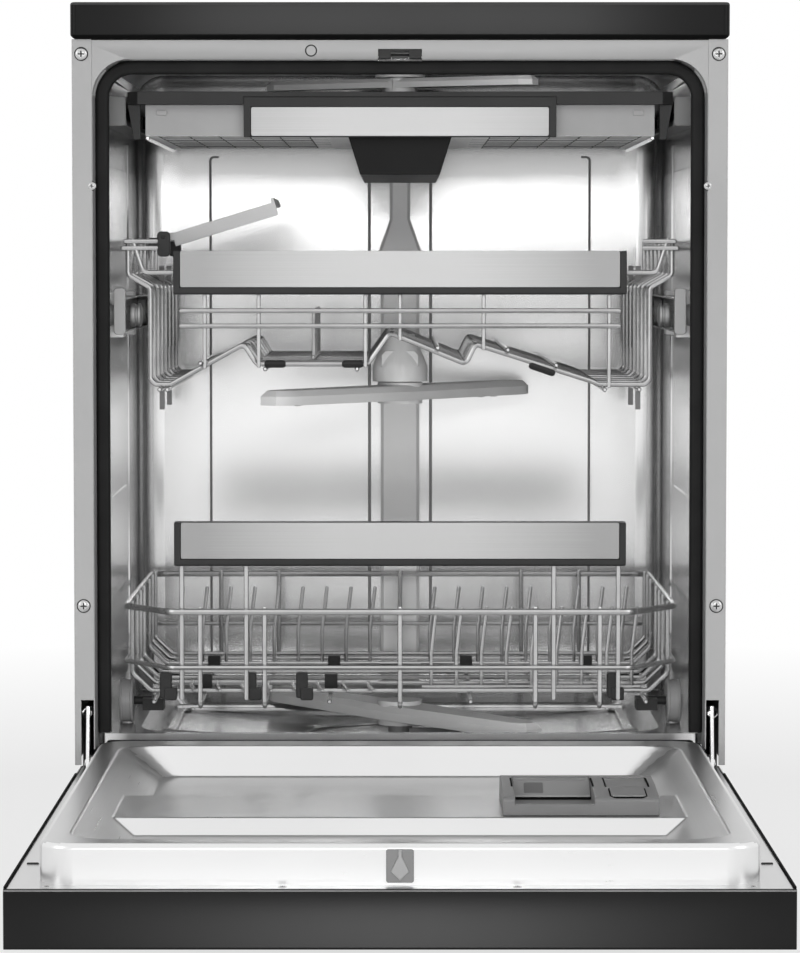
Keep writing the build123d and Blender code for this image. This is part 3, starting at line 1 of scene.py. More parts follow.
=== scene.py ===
"""Open dishwasher: finishes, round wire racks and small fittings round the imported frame. Metres."""
import json
import math

import bmesh
import bpy
from mathutils import Matrix, Vector


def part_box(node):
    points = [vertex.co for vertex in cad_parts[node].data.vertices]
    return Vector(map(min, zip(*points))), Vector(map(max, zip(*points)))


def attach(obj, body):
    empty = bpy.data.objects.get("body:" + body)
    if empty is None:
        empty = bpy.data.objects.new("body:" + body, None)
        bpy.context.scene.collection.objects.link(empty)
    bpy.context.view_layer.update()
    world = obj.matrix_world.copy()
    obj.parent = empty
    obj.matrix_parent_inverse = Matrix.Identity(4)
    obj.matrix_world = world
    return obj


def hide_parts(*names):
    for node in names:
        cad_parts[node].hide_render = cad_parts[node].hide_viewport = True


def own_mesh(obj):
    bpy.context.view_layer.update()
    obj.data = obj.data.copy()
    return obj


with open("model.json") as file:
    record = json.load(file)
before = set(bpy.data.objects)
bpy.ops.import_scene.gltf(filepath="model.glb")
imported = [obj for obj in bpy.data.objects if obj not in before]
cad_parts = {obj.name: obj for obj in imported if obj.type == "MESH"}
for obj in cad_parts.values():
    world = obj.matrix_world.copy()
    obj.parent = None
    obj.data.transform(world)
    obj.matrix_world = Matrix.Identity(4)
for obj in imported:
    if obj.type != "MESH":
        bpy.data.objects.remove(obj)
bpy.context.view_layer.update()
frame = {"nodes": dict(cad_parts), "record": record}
nodes = frame["nodes"]
slots = {part["node"]: part["material_slot"] for part in frame["record"]["subparts"]}
home = {node: body for body, held in frame["record"]["behaviour"]["bodies"].items() for node in held}

MM = 0.001
FORWARD = (0, -1, 0)
UPWARD = (0, 0, 1)
SIDES = (-1, 1)


def corners(node):
    """Lowest and highest corner of a CAD node."""
    near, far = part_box(node)
    return Vector(near), Vector(far)


def low(node):
    """Lowest corner of a CAD node."""
    return corners(node)[0]


def high(node):
    """Highest corner of a CAD node."""
    return corners(node)[1]


# Finishes

class Value:
    """A shader socket that takes part in Python arithmetic."""

    def __init__(self, finish, socket):
        self.finish = finish
        self.socket = socket

    def _math(self, operation, first, second):
        return self.finish.node("Math", {"operation": operation}, {0: first, 1: second})

    def __add__(self, other):
        return self._math("ADD", self, other)

    __radd__ = __add__

    def __mul__(self, other):
        return self._math("MULTIPLY", self, other)

    __rmul__ = __mul__

    def __rsub__(self, other):
        return self._math("SUBTRACT", other, self)


class Finish:
    """One procedural material: a Principled shader and the nodes that vary it."""

    def __init__(self, name, **sockets):
        self.material = bpy.data.materials.new(name)
        self.material.use_nodes = True
        self.tree = self.material.node_tree
        self.shader = self.tree.nodes["Principled BSDF"]
        self.place = self.node("TexCoord", {}, {}, "Object")
        self.set(**sockets)

    def node(self, kind, settings, links, output=0):
        """Add a node: its settings first, then the values or links of its sockets."""
        made = self.tree.nodes.new("ShaderNode" + kind)
        stops = settings.pop("stops", None)
        for key, value in settings.items():
            setattr(made, key, value)
        if stops:
            ramp = made.color_ramp.elements
            while len(ramp) < len(stops):
                ramp.new(0.5)
            for element, (at, shade) in zip(ramp, stops):
                element.position = at
                element.color = (shade, shade, shade, 1)
        for key, value in links.items():
            self._feed(made.inputs[key], value)
        return Value(self, made.outputs[output])

    def _feed(self, socket, value):
        if isinstance(value, Value):
            self.tree.links.new(value.socket, socket)
        else:
            socket.default_value = value

    def set(self, **sockets):
        """Set the shader's own sockets; underscores stand for spaces."""
        for key, value in sockets.items():
            self._feed(self.shader.inputs[key.replace("_", " ")], value)

    def noise(self, scale, detail=3.0, stretch=None):
        """Cloudy pattern between 0 and 1; stretch pulls it out along an axis."""
        vector = self.place
        if stretch:
            vector = self.node("Mapping", {"vector_type": "POINT"}, {"Vector": self.place, "Scale": stretch})
        return self.node("TexNoise", {}, {"Vector": vector, "Scale": scale, "Detail": detail})

    def shade(self, mask, dark, light):
        """Grey between two levels, as a colour."""
        return self.node("ValToRGB", {"stops": [(0.3, dark), (0.7, light)]}, {"Fac": mask})

    def bump(self, height, strength, distance):
        """Fine relief of the surface."""
        normal = self.node("Bump", {}, {"Strength": strength, "Distance": distance, "Height": height})
        self.set(Normal=normal)


def clouded(name, scale, shades, roughness, grain=None, **sockets):
    """Finish that varies in soft clouds; a grain is its scale, detail, strength and depth."""
    made = Finish(name, **sockets)
    cloud = made.noise(scale)
    least, spread = roughness
    made.set(Base_Color=made.shade(cloud, *shades), Roughness=least + spread * cloud)
    if grain:
        fine, detail, strength, depth = grain
        made.bump(made.noise(fine, detail), strength, depth)
    return made.material


def black_enamel(name, gloss, roughness):
    return clouded(name, 9.0, (0.004, 0.005), (roughness, 0.04), (700.0, 1.0, 0.05, 0.0002),
                   Specular_IOR_Level=gloss)


def moulded(name, dark, light, roughness, gloss=0.5):
    """Moulded plastic with a fine spark-eroded grain."""
    return clouded(name, 14.0, (dark, light), (roughness, 0.1), (1400.0, 2.0, 0.12, 0.0002),
                   Specular_IOR_Level=gloss)


def pressed_steel(name, dark, light, roughness, grain):
    made = Finish(name, Metallic=1.0)
    brush = made.noise(60.0, 4.0, (1.0, 0.06, 14.0))
    cloud = made.noise(5.0)
    made.set(Base_Color=made.shade(cloud, dark, light), Roughness=roughness + 0.06 * brush + 0.04 * cloud)
    made.bump(brush, grain, 0.0003)
    return made.material


def fascia_painted_highlight():
    """Brushed steel with a painted highlight: lighter in the middle of its width."""
    made = Finish("fascia_painted_highlight", Metallic=0.9)
    brush = made.noise(90.0, 5.0, (0.05, 1.0, 22.0))
    cloud = made.noise(4.0)
    across = made.node("SeparateXYZ", {}, {0: made.place})
    # painted highlight: the base colour is lighter towards the middle of the width
    middle = 1.0 - 22.0 * across * across
    made.set(Base_Color=made.shade(0.25 * brush + 0.62 * middle, 0.33, 0.50),
             Roughness=0.38 + 0.10 * brush + 0.05 * cloud)
    made.bump(brush, 0.05, 0.0003)
    return made.material


finishes = {
    "lid_black": black_enamel("lid_enamel", 0.11, 0.11),
    "door_black": black_enamel("door_enamel", 0.34, 0.22),
    "panel_grey": clouded("grey_paint", 6.0, (0.21, 0.24), (0.42, 0.08), (900.0, 2.0, 0.1, 0.0003)),
    "tub_steel": pressed_steel("tub_steel", 0.76, 0.80, 0.16, 0.012),
    "fascia_steel": fascia_painted_highlight(),
    "seal_black": clouded("rubber_black", 30.0, (0.008, 0.012), (0.50, 0.15), (1100.0, 2.0, 0.1, 0.0003),
                          Specular_IOR_Level=0.1),
    "base_black": moulded("base_plastic", 0.022, 0.030, 0.50, 0.3),
    "trim_black": moulded("trim_plastic", 0.010, 0.015, 0.38, 0.25),
    "plastic_grey": moulded("grey_plastic", 0.16, 0.20, 0.38),
    "plastic_pale": moulded("pale_plastic", 0.44, 0.50, 0.38),
    "wire_grey": clouded("coated_wire", 40.0, (0.46, 0.54), (0.18, 0.10), (1500.0, 1.0, 0.06, 0.0002),
                         Metallic=0.85),
    "chrome_bright": clouded("bright_plate", 25.0, (0.70, 0.78), (0.10, 0.10), Metallic=1.0),
}

shadow_gap = moulded("shadow_gap", 0.002, 0.003, 0.70, 0.05)
# Shaded and lit copies of the liner's steel, darker for most faces, lighter for forward walls: painted light
# and shade
door_steel_shaded = pressed_steel("door_steel_shaded", 0.55, 0.60, 0.24, 0.004)
door_steel_lit = pressed_steel("door_steel_lit", 0.78, 0.82, 0.24, 0.004)
satin_steel = pressed_steel("satin_steel", 0.76, 0.80, 0.50, 0.004)
shelf_plastic = moulded("shelf_plastic", 0.29, 0.33, 0.38)
# Pale plastic standing in for light on the inserts' shaded underside: painted light
painted_lit_underside = moulded("painted_lit_underside", 0.84, 0.90, 0.45)
# Near-black, dull plastic: painted shade in the tray's deep bin
painted_shade_bin = moulded("painted_shade_bin", 0.004, 0.006, 0.42, 0.12)
# Dark grey plastic of the tray rails, also a painted highlight on the control panel's top edge
rail_grey_and_edge_highlight = moulded("rail_grey_and_edge_highlight", 0.075, 0.095, 0.45)
window_plastic = moulded("window_plastic", 0.085, 0.105, 0.25)
# Darker grey plastic: painted shade on the dispenser's front and on the striker's plate
painted_shade_plastic = moulded("painted_shade_plastic", 0.095, 0.115, 0.42)

# Pieces that wear another slot's finish than the rest of their record's slot
OTHER_SLOT = dict.fromkeys(("tray_rails", "rail_caps", "front_rollers", "rear_rollers"), "plastic_grey")
OTHER_SLOT.update(latch_hook="base_black", latch_housing="trim_black", ceiling_spray_arm="plastic_pale")
# Pieces with a finish of their own
OWN = {"cup_shelf": shelf_plastic, "tray_rails": rail_grey_and_edge_highlight}
# Faces that differ from the rest of their piece, and their finish
SECOND = {
    # painted light: the inserts' downward faces wear a pale finish
    "tray_inserts": (lambda face: face.normal.z < -0.5, painted_lit_underside),
    # painted shade: the dispenser's front faces are darker than its top
    "dispenser_body": (lambda face: face.normal.y < -0.5, painted_shade_plastic),
    # painted highlight: the control panel's upper front bevel is lighter than its black
    "control_panel": (lambda face: face.normal.y < -0.7 and face.normal.z > 0.2, rail_grey_and_edge_highlight),
}

for node, thing in nodes.items():
    thing.data.materials.clear()
    thing.data.materials.append(finishes[slots[node]])


# Mesh tools

SHARP_ANGLE = 35
WIRE_BEND = 7 * MM


def linked(name, data):
    """New object in the scene."""
    made = bpy.data.objects.new(name, data)
    bpy.context.scene.collection.objects.link(made)
    return made


def piece(name, built, body, slot, *replaced, new=True, finish=None, more=()):
    """Turn a bmesh into an object that rides on a body and wears a slot's finish or its own, and any more."""
    if new:
        bmesh.ops.remove_doubles(built, verts=built.verts, dist=MM / 1000)
        bmesh.ops.recalc_face_normals(built, faces=built.faces)
    mesh = bpy.data.meshes.new(name)
    built.to_mesh(mesh)
    built.free()
    mesh.shade_smooth()
    mesh.set_sharp_from_angle(angle=math.radians(SHARP_ANGLE))
    made = linked(name, mesh)
    made.modifiers.new("flat_faces", "WEIGHTED_NORMAL").keep_sharp = True
    for worn in (finish or finishes[slot], *more):
        mesh.materials.append(worn)
    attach(made, body)
    if replaced:
        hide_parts(*replaced)
    return made


def only(geometry, kind):
    """The parts of an operator's result that are of one kind."""
    return [part for part in geometry if isinstance(part, kind)]


def join(built, part):
    """Put a finished shape into a larger bmesh."""
    mesh = bpy.data.meshes.new("part")
    part.to_mesh(mesh)
    part.free()
    built.from_mesh(mesh)
    bpy.data.meshes.remove(mesh)


def bevel(built, parts, width, segments, kind="EDGES"):
    """Round the given edges, or vertices."""
    bmesh.ops.bevel(built, geom=parts, offset=width, offset_type="OFFSET", affect=kind, segments=segments,
                    profile=0.5, material=-1, clamp_overlap=True)


def sharp_edges(built, angle=25):
    return [edge for edge in built.edges if edge.is_manifold and edge.calc_face_angle() > math.radians(angle)]


def round_edges(built, width, segments=2):
    """Bevel every sharp edge."""
    bevel(built, sharp_edges(built), width, segments)


def tone(built, index, wanted):
    """Mark the faces that wear another of the piece's finishes."""
    for face in built.faces:
        if wanted(face):
            face.material_index = index


def solid_copy(node):
    """Merged copy of a CAD node's mesh, with its flat faces whole."""
    built = bmesh.new()
    built.from_mesh(nodes[node].data)
    bmesh.ops.remove_doubles(built, verts=built.verts, dist=MM / 100)
    bmesh.ops.dissolve_limit(built, angle_limit=math.radians(0.5), verts=built.verts, edges=built.edges)
    return built


def eased(node, width):
    """Copy of a CAD node with its edges rounded, in place of the node."""
    built = solid_copy(node)
    round_edges(built, width)
    more = ()
    if node in SECOND:
        wanted, second = SECOND[node]
        tone(built, 1, wanted)
        more = (second,)
    slot = OTHER_SLOT.get(node, slots[node])
    piece(node + "_eased", built, home[node], slot, node, new=False, finish=OWN.get(node), more=more)


def pad(built, near, far, facing, corner, edge, turn=Matrix()):
    """Pressed or moulded block: corners rounded about the axis it faces along, outer rim eased."""
    facing = Vector(facing)
    centre = (Vector(near) + Vector(far)) / 2
    size = [abs(a - b) for a, b in zip(near, far)]
    part = bmesh.new()
    bmesh.ops.create_cube(part, size=1.0, matrix=Matrix.LocRotScale(centre, None, Vector(size)))
    lengthwise = [line for line in part.edges
                  if abs((line.verts[0].co - line.verts[1].co).normalized().dot(facing)) > 0.9]
    bevel(part, lengthwise, corner, 4)
    top = max(vert.co.dot(facing) for vert in part.verts) - MM / 1000
    rim = [line for line in sharp_edges(part, 60) if min(vert.co.dot(facing) for vert in line.verts) > top]
    bevel(part, rim, edge, 2)
    bmesh.ops.transform(part, matrix=turn, verts=part.verts)
    join(built, part)


def lathe(built, outline, centre, axis, steps=24, unit=MM):
    """Turn an outline of (along, out) points, in millimetres or another unit, round an axis."""
    axis = Vector(axis).normalized()
    out = axis.orthogonal().normalized()
    centre = Vector(centre)
    verts = [built.verts.new(centre + (axis * along + out * away) * unit) for along, away in outline]
    edges = [built.edges.new(ends) for ends in zip(verts, verts[1:])]
    bmesh.ops.spin(built, geom=verts + edges, cent=centre, axis=axis, dvec=(0, 0, 0), angle=2 * math.pi,
                   steps=steps, use_merge=True, use_duplicate=False)


def ring(built, centre, along, radius, sides):
    """Circle of edges across a direction."""
    turn = Vector(along).to_track_quat("Z", "Y").to_matrix().to_4x4()
    verts = bmesh.ops.create_circle(built, segments=sides, radius=radius,
                                    matrix=Matrix.Translation(centre) @ turn)["verts"]
    return verts + list({edge for vert in verts for edge in vert.link_edges})


def spun(built, section, centre, axis, angle, steps, shift=(0, 0, 0)):
    """Carry a section round an axis, or along a shift, and return its last place."""
    return bmesh.ops.spin(built, geom=section, cent=centre, axis=axis, dvec=shift, angle=angle, steps=steps,
                          use_duplicate=False)["geom_last"]


def cap(built, section):
    """Close a section with one face."""
    bmesh.ops.contextual_create(built, geom=only(section, bmesh.types.BMEdge))


def follow(built, section, points, bend, steps=4):
    """Carry a section along straight runs, with a spun bend at each corner, and return its last place.

    A bend that is too wide for its runs takes just under half of the next one, or nearly all of this one.
    """
    points = [Vector(point) for point in points]
    here = points[0]
    for corner, after in zip(points[1:], points[2:]):
        along, leave = (corner - here).normalized(), (after - corner).normalized()
        turn = along.angle(leave)
        reach = min(bend * math.tan(turn / 2), 0.49 * (after - corner).length, 0.98 * (corner - here).length)
        start = corner - along * reach
        section = spun(built, section, here, along, 0, 1, start - here)
        inward = (leave - along * math.cos(turn)).normalized()
        centre = start + inward * reach / math.tan(turn / 2)
        section = spun(built, section, centre, along.cross(leave), turn, steps)
        here = corner + leave * reach
    return spun(built, section, here, points[-1] - here, 0, 1, points[-1] - here)


def wire(built, points, diameter, bend=WIRE_BEND, sides=8):
    """Round wire with rounded ends."""
    points = [Vector(point) for point in points]
    section = ring(built, points[0], points[1] - points[0], diameter / 2, sides)
    end = follow(built, section, points, bend)
    for ring_end, tip, inner in ((section, points[0], points[1]), (end, points[-1], points[-2])):
        round_end(built, ring_end, tip, (tip - inner).normalized(), diameter)


def round_end(built, section, tip, along, diameter):
    """Close a wire with a short dome."""
    grown = bmesh.ops.extrude_edge_only(built, edges=only(section, bmesh.types.BMEdge))["geom"]
    verts = only(grown, bmesh.types.BMVert)
    bmesh.ops.scale(built, vec=(0.6, 0.6, 0.6), space=Matrix.Translation(-tip), verts=verts)
    bmesh.ops.translate(built, vec=along * 0.3 * diameter, verts=verts)
    rim = {edge for vert in verts for edge in vert.link_edges if edge.other_vert(vert) in verts}
    bmesh.ops.contextual_create(built, geom=list(rim))


def wire_loop(built, points, diameter, bend, sides=8):
    """Round wire that closes on itself."""
    middle = (Vector(points[-1]) + Vector(points[0])) / 2
    section = ring(built, middle, Vector(points[0]) - middle, diameter / 2, sides)
    follow(built, section, [middle, *points, middle], bend)
    bmesh.ops.remove_doubles(built, verts=built.verts, dist=MM / 50)


def mirror(points):
    """A row of points on the other side of the middle."""
    return [(-x, y, z) for x, y, z in points]


def both_halves(points):
    """A row of points that goes on as its mirror image."""
    return [*points, *reversed(mirror(points))]


def wire_pair(built, points, diameter, bend=WIRE_BEND, sides=8):
    """Round wire and its mirror image."""
    for row in (points, mirror(points)):
        wire(built, row, diameter, bend, sides)


# Wire racks

WIRE = 4.5 * MM
RIM_WIRE = 6.0 * MM
TINE_WIRE = 3.6 * MM
AXLE_WIRE = 4.0 * MM
HALF_WIRE = WIRE / 2
POST_INSET = 6.5 * MM
POST_REACH = 3 * MM

# Lower rack: heights over the tub's ledge, then the cut corners, the sloped ends and the looped front wires
RIM_UP = 113 * MM
BELT_UP = 61 * MM
BASE_UP = 31.5 * MM
BASE_INSET = 23 * MM
CUT_ACROSS = 44 * MM
CUT_ALONG = 62 * MM
RIM_BEND = 20 * MM
WIRE_END = 3 * MM
SLOPE_UP = 17 * MM
NOSE_DROP = 6 * MM
NOSE_LENGTH = 16 * MM
NOSE_BEND = 6 * MM
CROSS_SHARES = (0.169, 0.319, 0.434, 0.55, 0.734, 0.85, 0.954)
LOOP_INSETS = (50 * MM, 110 * MM)
SECOND_POST = POST_INSET + 60 * MM
RUN_INSETS = (170 * MM, 6 * MM)
RUN_BACK = 20 * MM

# Tine rows
TINE_COUNT = 9
TINE_HEIGHT = 78 * MM
TINE_KNEE = 0.42 * TINE_HEIGHT
TINE_LEAN = 5 * MM
TINE_TIP = 2 * MM
TINE_BEND = 30 * MM
AXLE_END = 8 * MM
FIXED_FIRST = 30 * MM
FIXED_INSET = 14 * MM
FIXED_BACK = 108 * MM


def lower_rack():
    """Two rims with cut corners, cross wires, looped front wires and the posts of the handle."""
    box_low, box_high = corners("lower_basket")
    half = box_high.x - RIM_WIRE / 2
    front, rear = box_low.y + RIM_WIRE / 2, box_high.y - RIM_WIRE / 2
    ledge = high("tub_floor").z
    rim, belt, base = ledge + RIM_UP, ledge + BELT_UP, ledge + BASE_UP
    base_half = half - BASE_INSET
    cut, corner = half - CUT_ACROSS, front + CUT_ALONG
    built = bmesh.new()
    for z, diameter in ((rim, RIM_WIRE), (belt, WIRE)):
        right = [(cut, front, z), (half, corner, z), (half, rear, z)]
        wire_loop(built, both_halves(right), diameter, RIM_BEND)
    inside = (RIM_WIRE + WIRE) / 2
    side, top, slope = half - inside, rim + WIRE_END, base + SLOPE_UP
    for share in CROSS_SHARES:
        y = front + (rear - front) * share
        wire(built, both_halves([(-side, y, top), (-side, y, slope), (-base_half, y, base)]), WIRE)
    near, far, under = front + inside, rear - inside, base - WIRE
    loops = [base_half - inset for inset in LOOP_INSETS]
    for x in (0, *loops, *[-x for x in loops]):
        wire(built, [(x, near, top), (x, near, under - NOSE_DROP), (x, near + NOSE_LENGTH, under),
                     (x, far, under), (x, far, top)], WIRE, bend=NOSE_BEND)
    bezel_low, bezel_high = corners("lower_handle_bezel")
    for inset in (POST_INSET, SECOND_POST):
        x = bezel_high.x - inset
        wire_pair(built, [(x, near, base), (x, near, bezel_low.z + POST_REACH)], WIRE)
    for inset in RUN_INSETS:
        x = base_half - inset
        wire_pair(built, [(x, front + RUN_BACK, under), (x, far, under)], WIRE)
    axle = under + HALF_WIRE + AXLE_WIRE / 2
    tine_row(built, FIXED_FIRST, base_half - FIXED_INSET, front + FIXED_BACK, axle, 0)
    piece("lower_rack_wires", built, "lower_rack", "wire_grey", "lower_basket")


def tine_row(built, first, last, y, z, fold):
    """Bent tines on one axle; fold lays them towards the front."""
    turn = Matrix.Translation((0, y, z)) @ Matrix.Rotation(math.radians(fold), 4, "X")
    wire(built, [turn @ Vector((first - AXLE_END, 0, 0)), turn @ Vector((last + AXLE_END, 0, 0))], AXLE_WIRE)
    for i in range(TINE_COUNT):
        x = first + (last - first) * i / (TINE_COUNT - 1)
        points = [(x, 0, 0), (x, 0, TINE_KNEE), (x + TINE_LEAN, 0, TINE_HEIGHT - TINE_TIP)]
        wire(built, [turn @ Vector(point) for point in points], TINE_WIRE, bend=TINE_BEND)


def folding_tines():
    """The three rows of the lower rack that fold down."""
    for node, fold in (("left_front_tines", 90), ("left_rear_tines", 0), ("right_rear_tines", 0)):
        box_low, box_high = corners(node)
        y, z = box_high.y - AXLE_WIRE / 2, box_low.z + AXLE_WIRE / 2
        built = bmesh.new()
        tine_row(built, box_low.x + AXLE_END, box_high.x - AXLE_END, y, z, fold)
        piece(node + "_wire", built, node, "wire_grey", node)


# Bends of an upper cross wire from left to right: share of the half width, millimetres from the handle's foot
UPPER_BENDS = (
    (-1.0, 47.0), (-1.0, 18.0), (-0.919, 6.5), (-0.919, -78.5), (-0.899, -83.5), (-0.844, -83.5),
    (-0.574, -46.0), (-0.527, -64.5), (-0.119, -64.5), (-0.038, -35.5), (0.242, -64.5), (0.277, -46.0),
    (0.705, -80.5), (0.731, -83.5), (0.899, -83.5), (0.919, -78.5), (0.919, 6.5), (1.0, 18.0), (1.0, 47.0),
)
UPPER_BEND = 5 * MM
UPPER_CROSS_COUNT = 8
UPPER_INSET = 39.5 * MM
UPPER_FRONT = 17 * MM
UPPER_REAR = 4 * MM
# Places of the long wires under and over the cross wires and of the front posts, as shares of the half width
UNDER_SHARES = (-0.883, -0.855, -0.495, -0.158, 0.752, 0.879)
OVER_SHARES = (-0.733, 0.139, 0.396, 0.574)
POST_SHARES = (-0.717, -0.519, -0.127, 0.0, 0.307, 0.768)
LONG_FRONT = 6 * MM
LONG_REAR = 4 * MM
BELT_DROPS = (29 * MM, 15 * MM)
# Side wires and the arms that carry the handle
OUTER_ACROSS = 4.3 * MM
OUTER_DROP = 4 * MM
TOP_ACROSS = 2 * MM
STUB_LENGTH = 27 * MM
ARM_KNEE = 14.5 * MM
ARM_BACK = 12 * MM
ARM_UP = 20.25 * MM
ARM_END = 2 * MM
UPPER_TINE_COUNT = 8
UPPER_TINE_FIRST = 18 * MM
UPPER_TINE_PITCH = 32 * MM


def upper_rack():
    """Stepped cross wires, the long wires under and over them, and the front wires behind the handle."""
    handle = low("upper_handle_bezel")
    half = high("tub_wrapper").x - UPPER_INSET
    front, rear = handle.y + UPPER_FRONT, high("upper_basket").y - UPPER_REAR
    bends = [(share * half, handle.z + rise * MM) for share, rise in UPPER_BENDS]

    def height(x):
        """Height of a cross wire at one place."""
        for (x0, z0), (x1, z1) in zip(bends, bends[1:]):
            if x0 <= x <= x1 and x1 > x0:
                return z0 + (z1 - z0) * (x - x0) / (x1 - x0)

    built = bmesh.new()
    for i in range(UPPER_CROSS_COUNT):
        y = front + (rear - front) * i / (UPPER_CROSS_COUNT - 1)
        wire(built, [(x, y, z) for x, z in bends], WIRE, bend=UPPER_BEND)
    near, far, top = front - LONG_FRONT, rear + LONG_REAR, bends[0][1]
    outer, lower = half + OUTER_ACROSS, top - OUTER_DROP
    runs = [(share * half, height(share * half) - WIRE) for share in UNDER_SHARES]
    runs += [(share * half, height(share * half) + WIRE) for share in OVER_SHARES]
    for side in SIDES:
        runs += [(side * outer, lower), (side * half, top + HALF_WIRE)]
    for x, z in runs:
        wire(built, [(x, near, z), (x, far, z)], WIRE)
    beside = (WIRE + TINE_WIRE) / 2
    posts, belt = front - beside, front - 2 * beside
    for share in POST_SHARES:
        x = share * half
        wire(built, [(x, posts, height(x) - HALF_WIRE), (x, posts, handle.z + POST_REACH)], TINE_WIRE)
    grip = -handle.x
    end = grip - POST_INSET
    for drop in BELT_DROPS:
        wire(built, [(-end, belt, handle.z - drop), (end, belt, handle.z - drop)], WIRE)
    inner, middle, stub = handle.y + ARM_BACK, handle.z + ARM_UP, half - STUB_LENGTH
    arm = [(half - WIRE, near + MM, top + OUTER_DROP), (half - ARM_KNEE, inner, middle),
           (grip - ARM_END, inner, middle)]
    lower_stub = [(outer, near, lower), (stub, near, lower)]
    upper_stub = [(half + TOP_ACROSS, near, top + HALF_WIRE), (stub, near, top + HALF_WIRE)]
    for points in (arm, lower_stub, upper_stub):
        wire_pair(built, points, WIRE)
    piece("upper_rack_wires", built, "upper_rack", "wire_grey", "upper_basket")


def upper_tines():
    """Folding row of the upper rack: one axle and its short tines."""
    box_low, box_high = corners("upper_tine_row")
    x, z = (box_low.x + box_high.x) / 2, box_low.z + AXLE_WIRE / 2
    built = bmesh.new()
    wire(built, [(x, box_low.y, z), (x, box_high.y, z)], AXLE_WIRE)
    for i in range(UPPER_TINE_COUNT):
        y = box_low.y + UPPER_TINE_FIRST + UPPER_TINE_PITCH * i
        wire(built, [(x, y, z), (x, y, box_high.z)], TINE_WIRE)
    piece("upper_tine_row_wire", built, "upper_tine_row", "wire_grey", "upper_tine_row")


lower_rack()
folding_tines()
upper_rack()
upper_tines()


# Pieces whose CAD shape only needs its edges rounded, by the width of the rounding

EDGES = {
    1.2 * MM: ("upper_handle_bezel", "lower_handle_bezel", "control_panel", "base_tray"),
    0.8 * MM: ("dispenser_body", "detergent_lid", "rinse_aid_flap", "door_outer_panel", "height_adjusters",
               "rail_caps", "rack_clips", "latch_housing", "plinth", "feed_pipe",
               "spray_feed", "lower_spray_arm", "middle_spray_arm", "ceiling_spray_arm", "tray_rails",
               "rail_brackets", "water_inlet", "wash_pumps", "control_board", "hinge_brackets"),
    0.4 * MM: ("upper_handle_fascia", "lower_handle_fascia", "tray_fascia", "power_button",
               "program_button", "start_button", "cup_shelf", "tray_inserts", "upper_rails", "coarse_filter",
               "hinge_arms", "latch_hook"),
    0.25 * MM: ("side_panel_left", "side_panel_right", "back_panel"),
}
for width, names in EDGES.items():
    for node in names:
        eased(node, width)


# Tub

GASKET_THICK = 12 * MM
GASKET_BEND = 28 * MM
GASKET_EASE = 3.4 * MM
BEAD_WIRE = 3 * MM
BEAD_BEND = 5 * MM
BEAD_HOOK = 8 * MM
# Panels of a side wall: front, foot, rear and top edge in millimetres
WALL_PANELS = ((-190, 205, 76, 392), (-190, 414, 76, 704), (104, 205, 218, 704))
PANEL_DEPTH = 1.6 * MM
SEAM_WIRE = 4 * MM
FRAME_DEPTH = 30 * MM
CEILING_BAND = 60 * MM
LID_EASE = 1.2 * MM
FLANGE_SCREW = 5.4 * MM
SMALL_SCREW = 3.6 * MM
# Outlines of (along, out) points: a screw's head by its radius, a line's section by its thickness, a plug
SCREW_HEAD = ((-0.1, 0), (-0.1, 1), (0.2, 1), (0.34, 0.85), (0.42, 0.55), (0.42, 0))
LINE_SECTION = ((-0.3, 0), (0.3, 0.1), (0.6, 0.5), (0.3, 0.9), (-0.3, 1), (-0.3, 0))
PLUG = ((-1, 0), (-1, 4.5), (0.6, 4.5), (1.0, 4.1), (1.0, 0))


def rounded_ring(built, centre, wide, deep, radius):
    """Level rounded rectangle of edges, as the first thing in a bmesh."""
    place = Matrix.LocRotScale(Vector(centre), None, Vector((wide, deep, 1)))
    verts = bmesh.ops.create_grid(built, x_segments=1, y_segments=1, size=0.5, matrix=place)["verts"]
    bevel(built, verts, radius, 4, "VERTICES")
    bmesh.ops.delete(built, geom=built.faces[:], context="FACES_ONLY")
    return built.verts[:] + built.edges[:]


def door_gasket():
    """Soft tube round the mouth, and the flat strip at the foot of the door."""
    box_low, box_high = corners("door_seals")
    deep = box_high.y - box_low.y
    foot = high("tub_floor").z + 2 * MM
    side, top, y = box_high.x - GASKET_THICK / 2, box_high.z - GASKET_THICK / 2, box_low.y + deep / 2
    built = bmesh.new()
    section = rounded_ring(built, (-side, y, foot), GASKET_THICK, deep, GASKET_EASE)
    cap(built, section)
    arch = both_halves([(-side, y, foot), (-side, y, top)])
    cap(built, follow(built, section, arch, GASKET_BEND, 12))
    strip_front, strip_rear, strip_top = box_low.y + 7 * MM, box_low.y + 8.7 * MM, foot - 8 * MM
    pad(built, (-side, strip_front, box_low.z), (side, strip_rear, strip_top), FORWARD, 5 * MM, 0.6 * MM)
    piece("door_gasket", built, "cabinet", "seal_black", "door_seals")


def floor_pressing():
    """Rolled ribs round the sunk floor, cut across its front corners."""
    z = low("sump").z + 85 * MM
    built = bmesh.new()
    for inset, diameter in ((0, 7 * MM), (16 * MM, 4 * MM)):
        side, rear = 236 * MM - inset, 160 * MM - inset
        nook, front, turn = 132 * MM - inset / 2, -112 * MM + inset, -40 * MM
        right = [(nook, front, z), (side, turn, z), (side, rear, z)]
        wire_loop(built, both_halves(right), diameter, 12 * MM)
    piece("floor_ribs", built, "cabinet", "tub_steel")


def wall_beads():
    """Bead in each rear-wall groove; the outer ones hook inwards at the top."""
    box_low, box_high = corners("tub_back")
    y, foot, top = box_high.y - 3.2 * MM, box_low.z + 34 * MM, box_high.z - 84 * MM
    inner, outer = 32 * MM, box_high.x - 77 * MM
    built = bmesh.new()
    wire_pair(built, [(inner, y, foot), (inner, y, top)], BEAD_WIRE, BEAD_BEND)
    wire_pair(built, [(outer, y, foot), (outer, y, top), (outer - BEAD_HOOK, y, top)], BEAD_WIRE, BEAD_BEND)
    piece("wall_beads", built, "cabinet", "plastic_grey")


